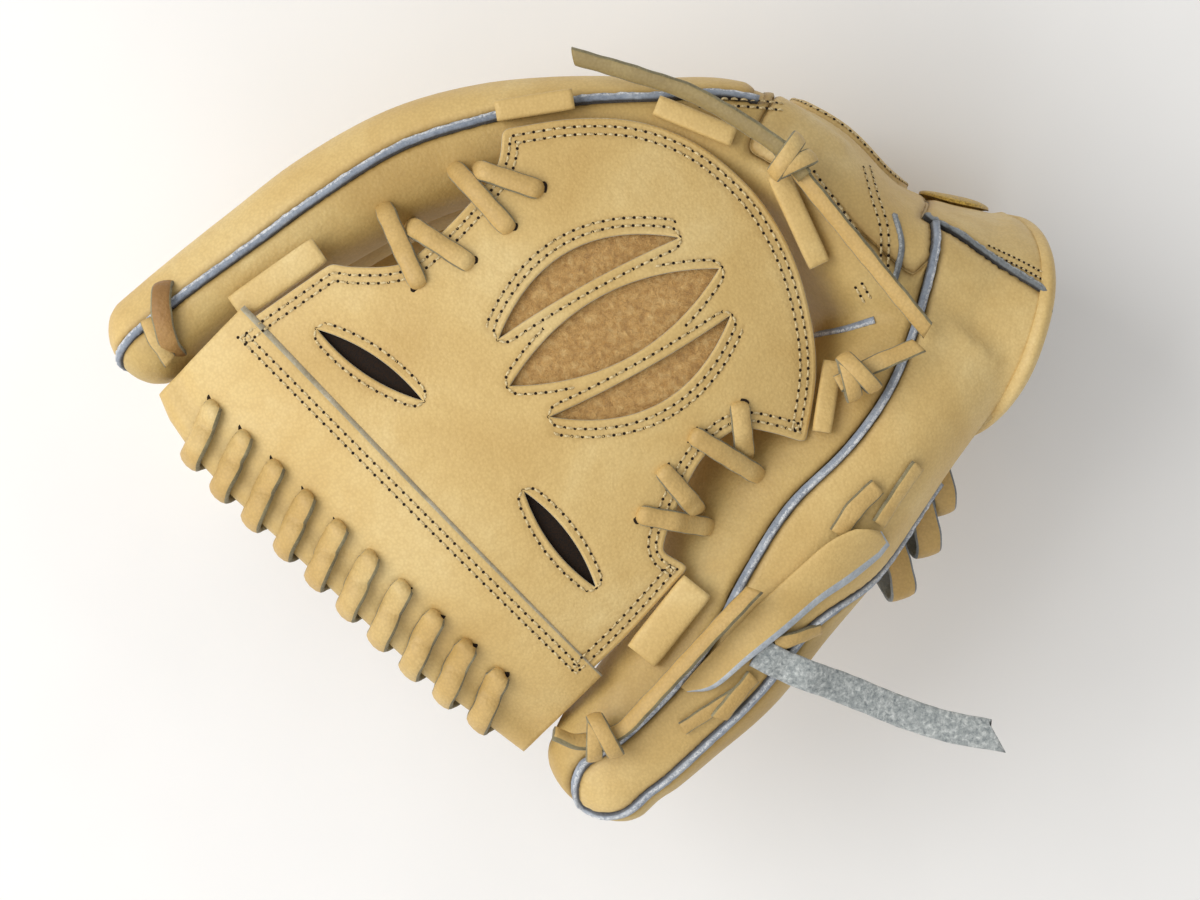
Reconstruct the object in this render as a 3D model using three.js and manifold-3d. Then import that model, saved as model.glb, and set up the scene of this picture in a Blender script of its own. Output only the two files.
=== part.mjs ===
// A pitcher's baseball glove in undyed leather, lying on its little-finger side with the web upwards.
// Millimetres, +Z up, the floor at z = 0. Seen from above, the fingers point to -X and the back of the hand faces +Y.
import * as THREE from 'three';
import { mergeVertices } from 'three/addons/utils/BufferGeometryUtils.js';
import Module from 'manifold-3d';

const wasm = await Module();
wasm.setup();

// Driving dimensions.
const WEB_TOP = 154; // height of the web's outer face at its middle
const LEATHER = 2.2; // one layer of web leather
const GAP = 0.35; // free space kept between pieces
const WALL = { up: 4, down: 5.5, side: 3.5 }; // padded walls of a stall: back, palm and sides
const WELT = { width: 2, slot: 1.45, proud: 1.5 }; // a welt's width, half of its slot, and how far it stands out
const LACE = { width: 6.6, thick: 2.1 };
const AROUND = 12; // points round a stall's skin
const INSIDE_AROUND = 6; // and round its hollow
const FINEST = 0.35; // detail finer than this is left out
const ROUNDNESS = 2.35; // exponent of the sections: 2 is an ellipse, more is boxier
const CENTRE = { x: -5.1, y: 0 }; // middle of the finished box, moved to the origin at the end

// Sections from root to tip. up, down, near and far are the half sizes away from the pocket, towards it, towards +Z
// and towards -Z before roll turns the section about its own line, in degrees. seamNear and seamFar say where the
// welts lie, in degrees from up.
const COLUMNS = ['x', 'y', 'z', 'up', 'down', 'near', 'far', 'roll', 'seamNear', 'seamFar'];
const table = (rows) => rows.map((row) => Object.fromEntries(COLUMNS.map((key, i) => [key, row[i]])));

const INDEX = table([
  [73, 77, 118, 16, 16, 14, 14, 0, 30, -90],
  [43, 94, 121, 18, 17, 16, 15.6, 0, 45, -90],
  [15.5, 97, 122, 16.7, 16.5, 16, 15.6, 0, 56, -90],
  [-9, 97, 122, 17.2, 17, 16, 15.6, 0, 63, -90],
  [-34, 94, 122, 18, 17.5, 16, 15.6, 0, 73, -90],
  [-58, 86.3, 122, 18.8, 17.5, 16, 15.6, -5, 78, -90],
  [-82.5, 73, 122, 18.3, 17, 16, 15.6, -10, 86, -90],
  [-103.5, 59, 121, 16.3, 16, 16, 15.5, -18, 93, -90],
  [-122.5, 45, 121, 15.3, 14.8, 15, 14, -28, 100, -88],
  [-137, 33.5, 121, 15, 14.2, 14, 12.5, -35, 105, -85],
]);
const MIDDLE = table([
  [73, 77, 87, 14, 16, 15.6, 15.6, 0, 90, -90],
  [44, 93, 87, 17, 17, 15.6, 15.6, 0, 90, -90],
  [-9, 95.5, 87, 17, 17, 15.6, 15.6, 0, 90, -90],
  [-56, 85, 87, 18.5, 17.5, 15.6, 15.6, 0, 90, -90],
  [-93, 63, 87, 18, 16, 15.6, 15.6, 0, 90, -90],
  [-115, 45, 87, 15, 14, 14, 14, 0, 90, -90],
  [-127, 32, 87, 12, 11.5, 12, 12, 0, 90, -90],
]);
const RING = table([
  [74, 75, 53, 14, 16, 15.6, 15.6, 0, 90, -90],
  [45, 91, 53, 17, 17, 15.6, 15.6, 0, 90, -90],
  [-10, 93, 53, 17, 17, 15.6, 15.6, 0, 90, -90],
  [-56, 79, 53, 17.5, 17.5, 15.6, 15.6, 0, 90, -90],
  [-91, 51, 53, 16.5, 16, 15.6, 15.6, 0, 90, -90],
  [-110, 26, 53, 14.5, 14, 14, 14, 0, 90, -90],
  [-118, 9, 53, 12, 11.5, 12, 12, 0, 90, -90],
]);
const LITTLE = table([
  [74, 73, 21, 11, 16, 14, 20, 0, 90, -90],
  [47, 88, 18.5, 17, 17, 15.6, 20, 0, 90, -90],
  [-3, 89, 18.5, 17, 17, 15.6, 20, 0, 90, -90],
  [-47, 73, 18.5, 17.5, 17.5, 15.6, 20, 0, 90, -90],
  [-82, 43, 18.5, 16.5, 16, 15.6, 20, 0, 90, -90],
  [-101, 13, 18.5, 14.5, 14, 14, 19, 0, 90, -90],
  [-107, -5, 18.5, 12, 11.5, 12, 16, 0, 90, -90],
]);
// The thumb's back faces up, so its up is +Z, near its outer side and far its side next to the web.
const THUMB = table([
  [128, 62, 101, 30, 24, 27, 33, 90, 90, -50],
  [118, 49, 102, 30, 24, 27, 33, 90, 90, -35],
  [108, 36, 103, 30, 24, 27, 33, 90, 90, -21],
  [92, 16, 105, 31, 24, 26, 33, 90, 90, -7],
  [77, -3, 107, 30, 24, 27.5, 35, 90, 88, -4],
  [63, -23, 109, 28, 22, 28, 39, 90, 78, -9],
  [49.5, -43, 111, 26, 20, 25.5, 36, 90, 46, -9],
  [36.3, -62.5, 112, 23, 18, 23.5, 29, 90, 43, -7],
  [21.2, -78.2, 112, 20, 16.5, 21.5, 25, 90, 46, -5],
  [8.2, -91.8, 112, 17.5, 14.5, 19.5, 22.5, 90, 48, -8],
  [2, -100.5, 112, 15, 12.5, 16.5, 20.5, 90, 46, -22],
]);
// The hand, from the wrist to the roots of the fingers.
const HAND = table([
  [121.5, 38, 66, 36, 36, 61, 67.5, 0, 68, -90],
  [110.5, 41.5, 66, 37.5, 38, 63.5, 67.5, 0, 58, -90],
  [98, 50, 67, 33, 36, 66, 68.5, 0, 44, -90],
  [80, 65, 68, 23.5, 30, 69, 69.5, 0, 28, -90],
  [61, 81.5, 69, 25, 22, 69, 70.5, 0, 25, -90],
  [43, 91.5, 69, 22.5, 17, 66, 70.5, 0, 25, -90],
]);
// Seam stations per row: the thumb's curved seams need more.
const seamSteps = (rows) => (rows === THUMB ? 2 : 1);
const RIM = 5; // length of the binding round the wrist
const WRIST_BULGE = 15; // how far the rim reaches past its ends on the thumb side
const FINGERS = { index: INDEX, middle: MIDDLE, ring: RING, little: LITTLE };
// Heights between which each stall lies.
const LEVELS = { index: [104.6, 160], middle: [70, 104.6], ring: [35.8, 70], little: [-1, 35.8] };

// Smooth value of every column at place u, counted in rows.
function rowAt(rows, u) {
  const last = rows.length - 1;
  const i = Math.min(Math.max(Math.floor(u), 0), last - 1);
  const t = u - i;
  const pick = (k) => rows[Math.min(Math.max(k, 0), last)];
  const [a, b, c, d] = [pick(i - 1), pick(i), pick(i + 1), pick(i + 2)];
  return Object.fromEntries(COLUMNS.map((key) => {
    const before = i > 0 ? a[key] : 2 * b[key] - c[key];
    const after = i + 2 <= last ? d[key] : 2 * c[key] - b[key];
    const slopeB = (c[key] - before) / 2;
    const slopeC = (after - b[key]) / 2;
    const cubic = 2 * b[key] - 2 * c[key] + slopeB + slopeC;
    const square = 3 * c[key] - 3 * b[key] - 2 * slopeB - slopeC;
    return [key, ((cubic * t + square) * t + slopeB) * t + b[key]];
  }));
}

// Place, direction and section axes of a table at u: dorsal points away from the pocket and side towards near.
function frameAt(rows, u) {
  const row = rowAt(rows, u);
  const [a, b] = [rowAt(rows, u - 0.01), rowAt(rows, u + 0.01)];
  const along = new THREE.Vector3(b.x - a.x, b.y - a.y, b.z - a.z).normalize();
  const up = new THREE.Vector3(0, 0, 1);
  const flatSide = up.addScaledVector(along, -along.z).normalize();
  const flatDorsal = along.clone().cross(flatSide);
  const roll = THREE.MathUtils.degToRad(row.roll);
  const dorsal = flatDorsal.clone().multiplyScalar(Math.cos(roll)).addScaledVector(flatSide, Math.sin(roll));
  const side = flatSide.clone().multiplyScalar(Math.cos(roll)).addScaledVector(flatDorsal, -Math.sin(roll));
  return { row, along, dorsal, side, place: new THREE.Vector3(row.x, row.y, row.z) };
}

// The point of a section at an angle from up towards near, for half sizes changed by grow.
function sectionPoint(frame, degrees, grow, scale = 1) {
  const angle = THREE.MathUtils.degToRad(degrees);
  const [c, s] = [Math.cos(angle), Math.sin(angle)];
  const { row } = frame;
  const power = 2 / ROUNDNESS;
  const out = Math.sign(c) * Math.abs(c) ** power * ((c > 0 ? row.up + grow.up : row.down + grow.down) * scale);
  const across = Math.sign(s) * Math.abs(s) ** power * (((s > 0 ? row.near : row.far) + grow.side) * scale);
  return frame.place.clone().addScaledVector(frame.dorsal, out).addScaledVector(frame.side, across);
}

// A closed solid from rings of points, each end closed by a fan to a hub point.
function solidFromRings(rings, startHub, endHub) {
  const n = rings[0].length;
  const points = rings.flat().concat([startHub, endHub]);
  const [start, end] = [points.length - 2, points.length - 1];
  const faces = [];
  for (let j = 0; j < n; j += 1) {
    const k = (j + 1) % n;
    faces.push(start, j, k);
    faces.push(end, (rings.length - 1) * n + k, (rings.length - 1) * n + j);
    for (let i = 0; i + 1 < rings.length; i += 1) {
      const [a, b] = [i * n + j, i * n + k];
      faces.push(a, a + n, b, b, a + n, b + n);
    }
  }
  return manifoldOf(points.flatMap((p) => p.toArray()), faces);
}

function manifoldOf(positions, faces) {
  const build = (order) => {
    const geometry = new THREE.BufferGeometry();
    geometry.setAttribute('position', new THREE.Float32BufferAttribute(positions, 3));
    geometry.setIndex(order);
    const merged = mergeVertices(geometry, 1e-4);
    return new wasm.Manifold(new wasm.Mesh({
      numProp: 3,
      vertProperties: merged.attributes.position.array,
      triVerts: new Uint32Array(merged.index.array),
    }));
  };
  const made = build(faces);
  if (made.volume() > 0) return made;
  const turned = [];
  for (let i = 0; i < faces.length; i += 3) turned.push(faces[i], faces[i + 2], faces[i + 1]);
  return build(turned);
}

function middleOf(points) {
  return points.reduce((sum, p) => sum.add(p), new THREE.Vector3()).divideScalar(points.length);
}

const SAME = { up: 0, down: 0, side: 0 };
const grownBy = (d) => ({ up: d, down: d, side: d });
const WALLS = { up: -WALL.up, down: -WALL.down, side: -WALL.side };
const THUMB_WALLS = { up: -WALL.up, down: -WALL.down, side: -WALL.side - 1.5 };
const anglesOf = (count) => Array.from({ length: count }, (_, i) => (360 * i) / count);

// A stall: rows lofted from u = from to the tip, where a round cap of the given length closes it.
function stall(rows, { grow = SAME, from = 0, cap = 12, perRow = 1, around = AROUND }) {
  const last = rows.length - 1;
  const angles = anglesOf(around);
  const count = Math.ceil((last - from) * perRow);
  const rings = [];
  for (let i = 0; i <= count; i += 1) {
    const frame = frameAt(rows, from + ((last - from) * i) / count);
    rings.push(angles.map((degrees) => sectionPoint(frame, degrees, grow)));
  }
  const tip = frameAt(rows, last);
  for (const bend of [35, 62]) {
    const angle = THREE.MathUtils.degToRad(bend);
    const ahead = tip.along.clone().multiplyScalar(cap * Math.sin(angle));
    rings.push(angles.map((degrees) => sectionPoint(tip, degrees, grow, Math.cos(angle)).add(ahead)));
  }
  const nose = tip.place.clone().addScaledVector(tip.along, cap);
  return solidFromRings(rings, frameAt(rows, from).place, nose);
}

// How far a point of the wrist's end is pushed out along the arm, by its angle.
function wristPush(degrees) {
  return -WRIST_BULGE * Math.max(0, Math.sin(THREE.MathUtils.degToRad(degrees)));
}

// The hand's loft between rows, its wrist end bulging towards the arm by share of WRIST_BULGE.
function handLoft(grow, past, until, around = AROUND, stations = [0, 0.5, 1, 2, 3, 4, 5]) {
  const rings = [];
  const last = HAND.length - 1;
  for (const u of stations) {
    const frame = frameAt(HAND, u);
    const share = Math.max(0, 1 - u);
    const end = u === last ? until : 0;
    const back = u === 0 ? -past : 0;
    rings.push(anglesOf(around).map((degrees) => sectionPoint(frame, degrees, grow)
      .addScaledVector(frame.along, wristPush(degrees) * share + back + end)));
  }
  return solidFromRings(rings, middleOf(rings[0]), middleOf(rings[rings.length - 1]));
}

// Everything between two heights.
function layer(low, high) {
  const slab = new THREE.BoxGeometry(800, 800, high - low).translate(0, 0, (low + high) / 2);
  const bare = new THREE.BufferGeometry();
  bare.setAttribute('position', slab.attributes.position);
  bare.setIndex(slab.index);
  const merged = mergeVertices(bare, 1e-4);
  return manifoldOf([...merged.attributes.position.array], [...merged.index.array]);
}

const union = (list) => list.reduce((all, one) => all.add(one));
const largest = (solid) => solid.decompose().sort((a, b) => b.volume() - a.volume())[0];

// Everything above the floor, cut flat where the glove rests.
const aboveFloor = (solid) => solid.intersect(layer(0, 200));

// Everything past the wrist's end, where the binding lies and where the arm would be.
function beyondWrist() {
  const frame = frameAt(HAND, 0);
  const steps = [[-25, RIM + 1.1], [40, RIM + 1.1], [40, -60]];
  const rings = steps.map(([grow, shift]) => anglesOf(AROUND * 2).map((degrees) => (
    sectionPoint(frame, degrees, grownBy(grow)).addScaledVector(frame.along, wristPush(degrees) + shift)
  )));
  return solidFromRings(rings, middleOf(rings[0]), middleOf(rings[2]));
}

// The glove's hollow body: outer skins joined, inner hollows taken out.
const outer = union([
  handLoft(SAME, 0, 0),
  stall(THUMB, { from: 2 }),
  ...Object.values(FINGERS).map((rows) => stall(rows, { from: 0.2 })),
]).subtract(beyondWrist());
const hollow = union([
  handLoft({ up: -4, down: -8, side: -6 }, 14, -4, INSIDE_AROUND, [0, 1, 2, 3.5, 5]),
  stall(THUMB, { from: 2, grow: THUMB_WALLS, cap: 8, around: INSIDE_AROUND }),
  ...Object.values(FINGERS).map((rows) => stall(rows, { from: 0.3, grow: WALLS, cap: 8, around: INSIDE_AROUND })),
]);
const body = aboveFloor(outer.subtract(hollow));

// The opening in the back of the hand, above the wrist strap.
const OPENING = { from: 2.95, to: 4.65, near: 106, far: 28 };

// A point of the hand's back at row u and height z.
function handBackPoint(u, z, grow = 0) {
  const frame = frameAt(HAND, u);
  const across = z - frame.row.z;
  const half = across > 0 ? frame.row.near : frame.row.far;
  const out = frame.row.up * (1 - Math.abs(across / half) ** ROUNDNESS) ** (1 / ROUNDNESS) + grow;
  return frame.place.clone().addScaledVector(frame.dorsal, out).add(new THREE.Vector3(0, 0, across));
}

// The edge of the opening as a closed loop of [row, height] pairs, round at the corners.
function openingLoop(grow, count = 16) {
  const middle = { u: (OPENING.from + OPENING.to) / 2, z: (OPENING.near + OPENING.far) / 2 };
  const half = { u: (OPENING.to - OPENING.from) / 2 + grow / 25, z: (OPENING.near - OPENING.far) / 2 + grow };
  const corner = 2 / 3;
  return Array.from({ length: count }, (_, i) => {
    const angle = (2 * Math.PI * i) / count;
    const [c, s] = [Math.cos(angle), Math.sin(angle)];
    return [
      middle.u + half.u * Math.sign(s) * Math.abs(s) ** corner,
      middle.z + half.z * Math.sign(c) * Math.abs(c) ** corner,
    ];
  });
}

function openingCutter() {
  const loop = openingLoop(0);
  const rings = [-14, 20].map((grow) => loop.map(([u, z]) => handBackPoint(u, z, grow)));
  return solidFromRings(rings, middleOf(rings[0]), middleOf(rings[1]));
}

// Where a ray first meets the glove's outer skin.
const skin = outer.getMesh();
function skinHit(origin, direction) {
  const corner = [new THREE.Vector3(), new THREE.Vector3(), new THREE.Vector3()];
  const ray = new THREE.Ray(origin, direction);
  const hit = new THREE.Vector3();
  let best = null;
  let distance = Infinity;
  for (let i = 0; i < skin.triVerts.length; i += 3) {
    corner.forEach((p, j) => p.fromArray(skin.vertProperties, skin.triVerts[i + j] * 3));
    if (ray.intersectTriangle(...corner, false, hit) && hit.distanceTo(origin) < distance) {
      distance = hit.distanceTo(origin);
      best = hit.clone();
    }
  }
  return best;
}
const DOWN = new THREE.Vector3(0, 0, -1);
function skinHeight(x, y) {
  const met = skinHit(new THREE.Vector3(x, y, 300), DOWN);
  return met ? met.z : 0;
}

// The true direction, in radians from up towards near, of a section's point.
function polar(frame, degrees) {
  const arm = sectionPoint(frame, degrees, SAME).sub(frame.place);
  return Math.atan2(arm.dot(frame.side), arm.dot(frame.dorsal));
}
const rayOf = (frame, angle) => frame.dorsal.clone().multiplyScalar(Math.cos(angle))
  .addScaledVector(frame.side, Math.sin(angle));

// A wedge round a table's line, between two seams, that reaches far past the leather. grow moves both seams outwards.
function wedge(rows, { from = 0, to = rows.length - 1, grow = 0, reach = 60, past = 30, seams, before = 0, levels }) {
  const rings = [];
  const hubs = [];
  const steps = Math.ceil((to - from) * seamSteps(rows));
  const add = (frame, shift) => {
    const near = polar(frame, seams ? seams[0] : frame.row.seamNear);
    const far = polar(frame, seams ? seams[1] : frame.row.seamFar);
    const bisector = rayOf(frame, (near + far) / 2);
    const apex = frame.place.clone().addScaledVector(bisector, -grow / Math.sin((near - far) / 2))
      .addScaledVector(frame.along, shift);
    const edge = (angle, outwards) => {
      const ray = rayOf(frame, angle);
      const met = skinHit(frame.place, ray);
      const depth = met && met.distanceTo(frame.place) < reach - 8 ? met.distanceTo(frame.place) : reach / 2;
      const offset = rayOf(frame, angle + (Math.PI / 2) * outwards).multiplyScalar(grow)
        .addScaledVector(frame.along, shift);
      return [depth - 4, depth + 3].map((t) => frame.place.clone().addScaledVector(ray, t).add(offset));
    };
    const arc = [];
    for (let i = 0; i <= 6; i += 1) {
      arc.push(apex.clone().addScaledVector(rayOf(frame, far + ((near - far) * i) / 6), reach));
    }
    rings.push([apex, ...edge(far, -1), ...arc, ...edge(near, 1).reverse()]);
    hubs.push(apex.clone().addScaledVector(bisector, reach / 3));
  };
  add(frameAt(rows, from), -before - grow);
  const first = before ? 0 : 1;
  const last = past ? steps : steps - 1;
  for (let i = first; i <= last; i += 1) add(frameAt(rows, from + ((to - from) * i) / steps), 0);
  add(frameAt(rows, to), past + grow);
  const whole = solidFromRings(rings, hubs[0], hubs[hubs.length - 1]);
  return levels ? whole.intersect(layer(levels[0], levels[1])) : whole;
}

// Parting the body along its seams.
const pieces = {};
let rest = body.subtract(openingCutter());
function part(name, rows, options) {
  const slot = options.slot ?? GAP / 2;
  pieces[name] = largest(rest.intersect(wedge(rows, { ...options, grow: -slot })));
  rest = rest.subtract(wedge(rows, { ...options, grow: slot })).subtract(pieces[name]);
}
const STRAP_END = 2.7; // row of HAND where the strap's finger side lies
const PANEL = { from: 2.3, to: 4.93, seams: [90, -90] }; // the back of the hand round the opening
part('wrist_strap', HAND, { from: 0, to: STRAP_END, past: 0, before: 30, reach: 130, slot: GAP });
part('thumb_back', THUMB, { from: 0, before: 40, past: 30, reach: 70, slot: WELT.slot });
part('hand_back', HAND, { ...PANEL, past: 0, reach: 130 });
for (const [name, rows] of Object.entries(FINGERS)) {
  part(`${name}_back`, rows, { from: 1, past: 20, reach: 34, levels: LEVELS[name], slot: WELT.slot });
}

// The pocket side of each stall, parted from the palm across its root: the row of the cut, and how far the cutter
// stands off the skin.
const FRONTS = {
  index: { root: 1.1, clear: 1.2 },
  middle: { root: 1.1, clear: 1.2 },
  ring: { root: 1.1, clear: 1.2 },
  little: { root: 1.1, clear: 1.2 },
  thumb: { root: 4.6, clear: 4 },
};
for (const [name, { root, clear }] of Object.entries(FRONTS)) {
  const rows = FINGERS[name] ?? THUMB;
  const spacing = frameAt(rows, root).place.distanceTo(frameAt(rows, root - 1).place);
  const cutter = (from, grow) => stall(rows, { from, grow: grownBy(grow), cap: 12 + grow });
  pieces[`${name}_front`] = largest(rest.intersect(cutter(root, clear)));
  rest = rest.subtract(cutter(root - GAP / spacing, clear + 0.1));
}
pieces.palm = largest(rest);

// A solid of four-cornered sections along a path; closed joins its last section to its first.
function bar(sections, closed = false) {
  const n = sections.length;
  const faces = [];
  const last = closed ? n : n - 1;
  for (let i = 0; i < last; i += 1) {
    for (let j = 0; j < 4; j += 1) {
      const [a, b] = [i * 4 + j, i * 4 + ((j + 1) % 4)];
      const [c, d] = [((i + 1) % n) * 4 + j, ((i + 1) % n) * 4 + ((j + 1) % 4)];
      faces.push(a, c, b, b, c, d);
    }
  }
  const e = (n - 1) * 4;
  if (!closed) faces.push(0, 1, 2, 0, 2, 3, e, e + 2, e + 1, e, e + 3, e + 2);
  return manifoldOf(sections.flat().flatMap((p) => p.toArray()), faces);
}

// A section round a point: side and out are unit vectors, w and t whole sizes along them.
function section(point, side, out, w, t) {
  const at = (a, b) => point.clone().addScaledVector(side, a * w / 2).addScaledVector(out, b * t / 2);
  return [at(-1, -1), at(1, -1), at(1, 1), at(-1, 1)];
}

// Rows where each stall's welt starts on its two sides: between two stalls it starts where they part.
const WELT_STARTS = {
  index: { nearFrom: 1, farFrom: 2 },
  middle: { nearFrom: 2, farFrom: 2 },
  ring: { nearFrom: 2, farFrom: 2 },
  little: { nearFrom: 2, farFrom: 1 },
};

// Welts: the grey edges sewn between a stall's back and its palm side, from root round the tip to root.
function welt(rows, { nearFrom, farFrom }) {
  const last = rows.length - 1;
  const sections = [];
  const add = (u, bend, towards) => {
    const frame = frameAt(rows, u);
    const angle = polar(frame, towards > 0 ? frame.row.seamNear : frame.row.seamFar);
    const turn = THREE.MathUtils.degToRad(bend);
    const ray = rayOf(frame, angle).multiplyScalar(Math.cos(turn)).addScaledVector(frame.along, Math.sin(turn));
    const other = polar(frame, towards > 0 ? frame.row.seamFar : frame.row.seamNear);
    const side = frame.along.clone().cross(rayOf(frame, angle)).multiplyScalar(towards);
    const across = frame.along.clone().cross(rayOf(frame, other)).multiplyScalar(-towards);
    if (bend === 90) side.add(across).normalize();
    const hit = skinHit(frame.place, ray);
    const deep = WALL.side - 0.5;
    const middle = hit.addScaledVector(ray, (WELT.proud - deep) / 2);
    sections.push(section(middle, side, ray, WELT.width, WELT.proud + deep));
  };
  const rowsFrom = (start) => [
    start,
    ...Array.from({ length: last * seamSteps(rows) }, (_, i) => (i + 1) / seamSteps(rows)).filter((u) => u > start),
  ];
  for (const u of rowsFrom(nearFrom)) add(u, 0, 1);
  for (const bend of [35, 65]) add(last, bend, 1);
  add(last, 90, 1);
  for (const bend of [65, 35]) add(last, bend, -1);
  for (const u of rowsFrom(farFrom).reverse()) add(u, 0, -1);
  return aboveFloor(bar(sections));
}

// The wrist's binding: a folded strip round the rim of the hand's opening.
function wristBinding() {
  const frame = frameAt(HAND, 0);
  const inwards = { up: -4.8, down: -8.8, side: -6.8 };
  const sections = anglesOf(AROUND).map((degrees) => {
    const push = wristPush(degrees);
    const [o, i] = [grownBy(0.6), inwards].map((grow) => sectionPoint(frame, degrees, grow));
    return [[i, push + RIM], [o, push + RIM], [o, push], [i, push]]
      .map(([p, shift]) => p.clone().addScaledVector(frame.along, shift));
  });
  return aboveFloor(bar(sections, true));
}

// The padded binding inside the edge of the back opening.
function openingBinding() {
  const outerEdge = openingLoop(-GAP - 0.3);
  const innerEdge = openingLoop(-5);
  return bar(outerEdge.map(([u, z], i) => {
    const [v, w] = innerEdge[i];
    return [handBackPoint(u, z, -3.5), handBackPoint(v, w, -3), handBackPoint(v, w, 1), handBackPoint(u, z, 1.2)];
  }), true);
}

// The web, seen from above: its outline, and the height of its outer face.
const WEB_OUTLINE = [
  [-111, 35.4], [-80.4, 56.4], [-76.5, 55.2], [-63, 55.2], [-54.6, 58.8], [-39.6, 73.5], [-30.9, 85.5],
  [-29.4, 96.6], [-7.5, 99.9], [12, 99], [30, 92.1], [46.5, 78], [57, 61.5], [63, 43.5], [65.4, 24], [62.4, 2.1],
  [51, 5.4], [40.5, 6], [30, -3.6], [21.6, -21], [18.6, -30.6], [27, -35.4], [7.5, -57], [-6, -69.9],
];
const AXIS = { x: 0.871, y: 0.49 }; // the web's axis, from the rim towards the crotch
const webPoint = (p, q) => [p * AXIS.x - q * AXIS.y, p * AXIS.y + q * AXIS.x];
function webHeight(x, y) {
  const p = x * AXIS.x + y * AXIS.y + 10;
  const q = -x * AXIS.y + y * AXIS.x - 22;
  return WEB_TOP - (q > 0 ? 0.0012 : 0.0036) * q * q - (p > 0 ? 0.0018 : 0.0012) * p * p;
}

// A slab that follows the web's dome, between two depths under its outer face.
function webLayer(depthTop, depthBottom) {
  const [columns, lines] = [6, 6];
  const points = [];
  for (const depth of [depthTop, depthBottom]) {
    for (let i = 0; i <= columns; i += 1) {
      for (let j = 0; j <= lines; j += 1) {
        const [x, y] = webPoint(-112 + (200 * i) / columns, -100 + (212 * j) / lines);
        points.push(x, y, webHeight(x, y) - depth);
      }
    }
  }
  const id = (i, j, k) => k * (columns + 1) * (lines + 1) + i * (lines + 1) + j;
  const faces = [];
  const quad = (a, b, c, d) => faces.push(a, b, c, a, c, d);
  for (let i = 0; i < columns; i += 1) {
    for (let j = 0; j < lines; j += 1) {
      quad(id(i, j, 0), id(i + 1, j, 0), id(i + 1, j + 1, 0), id(i, j + 1, 0));
      quad(id(i, j, 1), id(i, j + 1, 1), id(i + 1, j + 1, 1), id(i + 1, j, 1));
    }
    quad(id(i, 0, 0), id(i, 0, 1), id(i + 1, 0, 1), id(i + 1, 0, 0));
    quad(id(i, lines, 0), id(i + 1, lines, 0), id(i + 1, lines, 1), id(i, lines, 1));
  }
  for (let j = 0; j < lines; j += 1) {
    quad(id(0, j, 0), id(0, j + 1, 0), id(0, j + 1, 1), id(0, j, 1));
    quad(id(columns, j, 0), id(columns, j, 1), id(columns, j + 1, 1), id(columns, j + 1, 0));
  }
  return manifoldOf(points, faces);
}

// An upright prism on a plan outline, from z = 90 to 200.
function prism(outline) {
  const shape = new THREE.Shape(outline.map(([x, y]) => new THREE.Vector2(x, y)));
  const solid = new THREE.ExtrudeGeometry(shape, { depth: 110, bevelEnabled: false }).translate(0, 0, 90);
  const bare = new THREE.BufferGeometry();
  bare.setAttribute('position', solid.attributes.position);
  const merged = mergeVertices(bare, 1e-4);
  return manifoldOf([...merged.attributes.position.array], [...merged.index.array]);
}

// An outline moved outwards by d.
function grownOutline(outline, d) {
  const n = outline.length;
  const turn = Math.sign(THREE.ShapeUtils.area(outline.map(([x, y]) => ({ x, y }))));
  return outline.map(([x, y], i) => {
    const [px, py] = outline[(i + n - 1) % n];
    const [qx, qy] = outline[(i + 1) % n];
    const a = new THREE.Vector2(x - px, y - py).normalize();
    const b = new THREE.Vector2(qx - x, qy - y).normalize();
    const normal = new THREE.Vector2(a.y + b.y, -a.x - b.x).normalize();
    const sharp = Math.max(0.5, Math.sqrt((1 + a.dot(b)) / 2));
    return [x + (turn * normal.x * d) / sharp, y + (turn * normal.y * d) / sharp];
  });
}

// A pointed oval bent sideways: centre, half length, half width, bend at its ends, direction in degrees.
function leaf([x, y, half, wide, bend, degrees], count = 6) {
  const side = (sign) => Array.from({ length: count }, (_, i) => {
    const t = -1 + (2 * i) / count;
    return [t * sign * half, sign * -wide * (1 - t * t) + bend * t * t];
  });
  const turn = THREE.MathUtils.degToRad(degrees);
  return [...side(1), ...side(-1)].map(([a, b]) => [
    x + a * Math.cos(turn) - b * Math.sin(turn),
    y + a * Math.sin(turn) + b * Math.cos(turn),
  ]);
}
const AXIS_DEGREES = 29.4;
const WINDOWS = [
  [...webPoint(22, 30), 36, 10, 0, AXIS_DEGREES],
  [...webPoint(21, 51), 31, 5.5, -7, AXIS_DEGREES],
  [...webPoint(23, 9), 31, 5.5, 7, AXIS_DEGREES],
];
const SLITS = [
  [-69, 25.5, 19, 3, 0, -34],
  [-12, -27, 18, 3, 0, -53.5],
];

// Strips of lace. A path is a list of points; side is the width's direction, the same all along or one per point.
const vector = ([x, y, z]) => new THREE.Vector3(x, y, z);
function strip(path, side, { width = LACE.width, thick = LACE.thick } = {}) {
  const points = path.map(vector);
  return bar(points.map((p, i) => {
    const before = points[Math.max(i - 1, 0)];
    const after = points[Math.min(i + 1, points.length - 1)];
    const a = p.clone().sub(before).normalize();
    const b = after.clone().sub(p).normalize();
    const along = a.clone().add(b).normalize();
    const across = Array.isArray(side) ? side[i] : side;
    const straight = across.clone().addScaledVector(along, -across.dot(along)).normalize();
    const out = along.clone().cross(straight);
    const mitre = i > 0 && i < points.length - 1 ? Math.max(0.55, a.dot(along)) : 1;
    return section(p, straight, out, width, thick / mitre);
  }));
}
const levelSide = (a, b) => new THREE.Vector3(b[1] - a[1], a[0] - b[0], 0).normalize();

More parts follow.
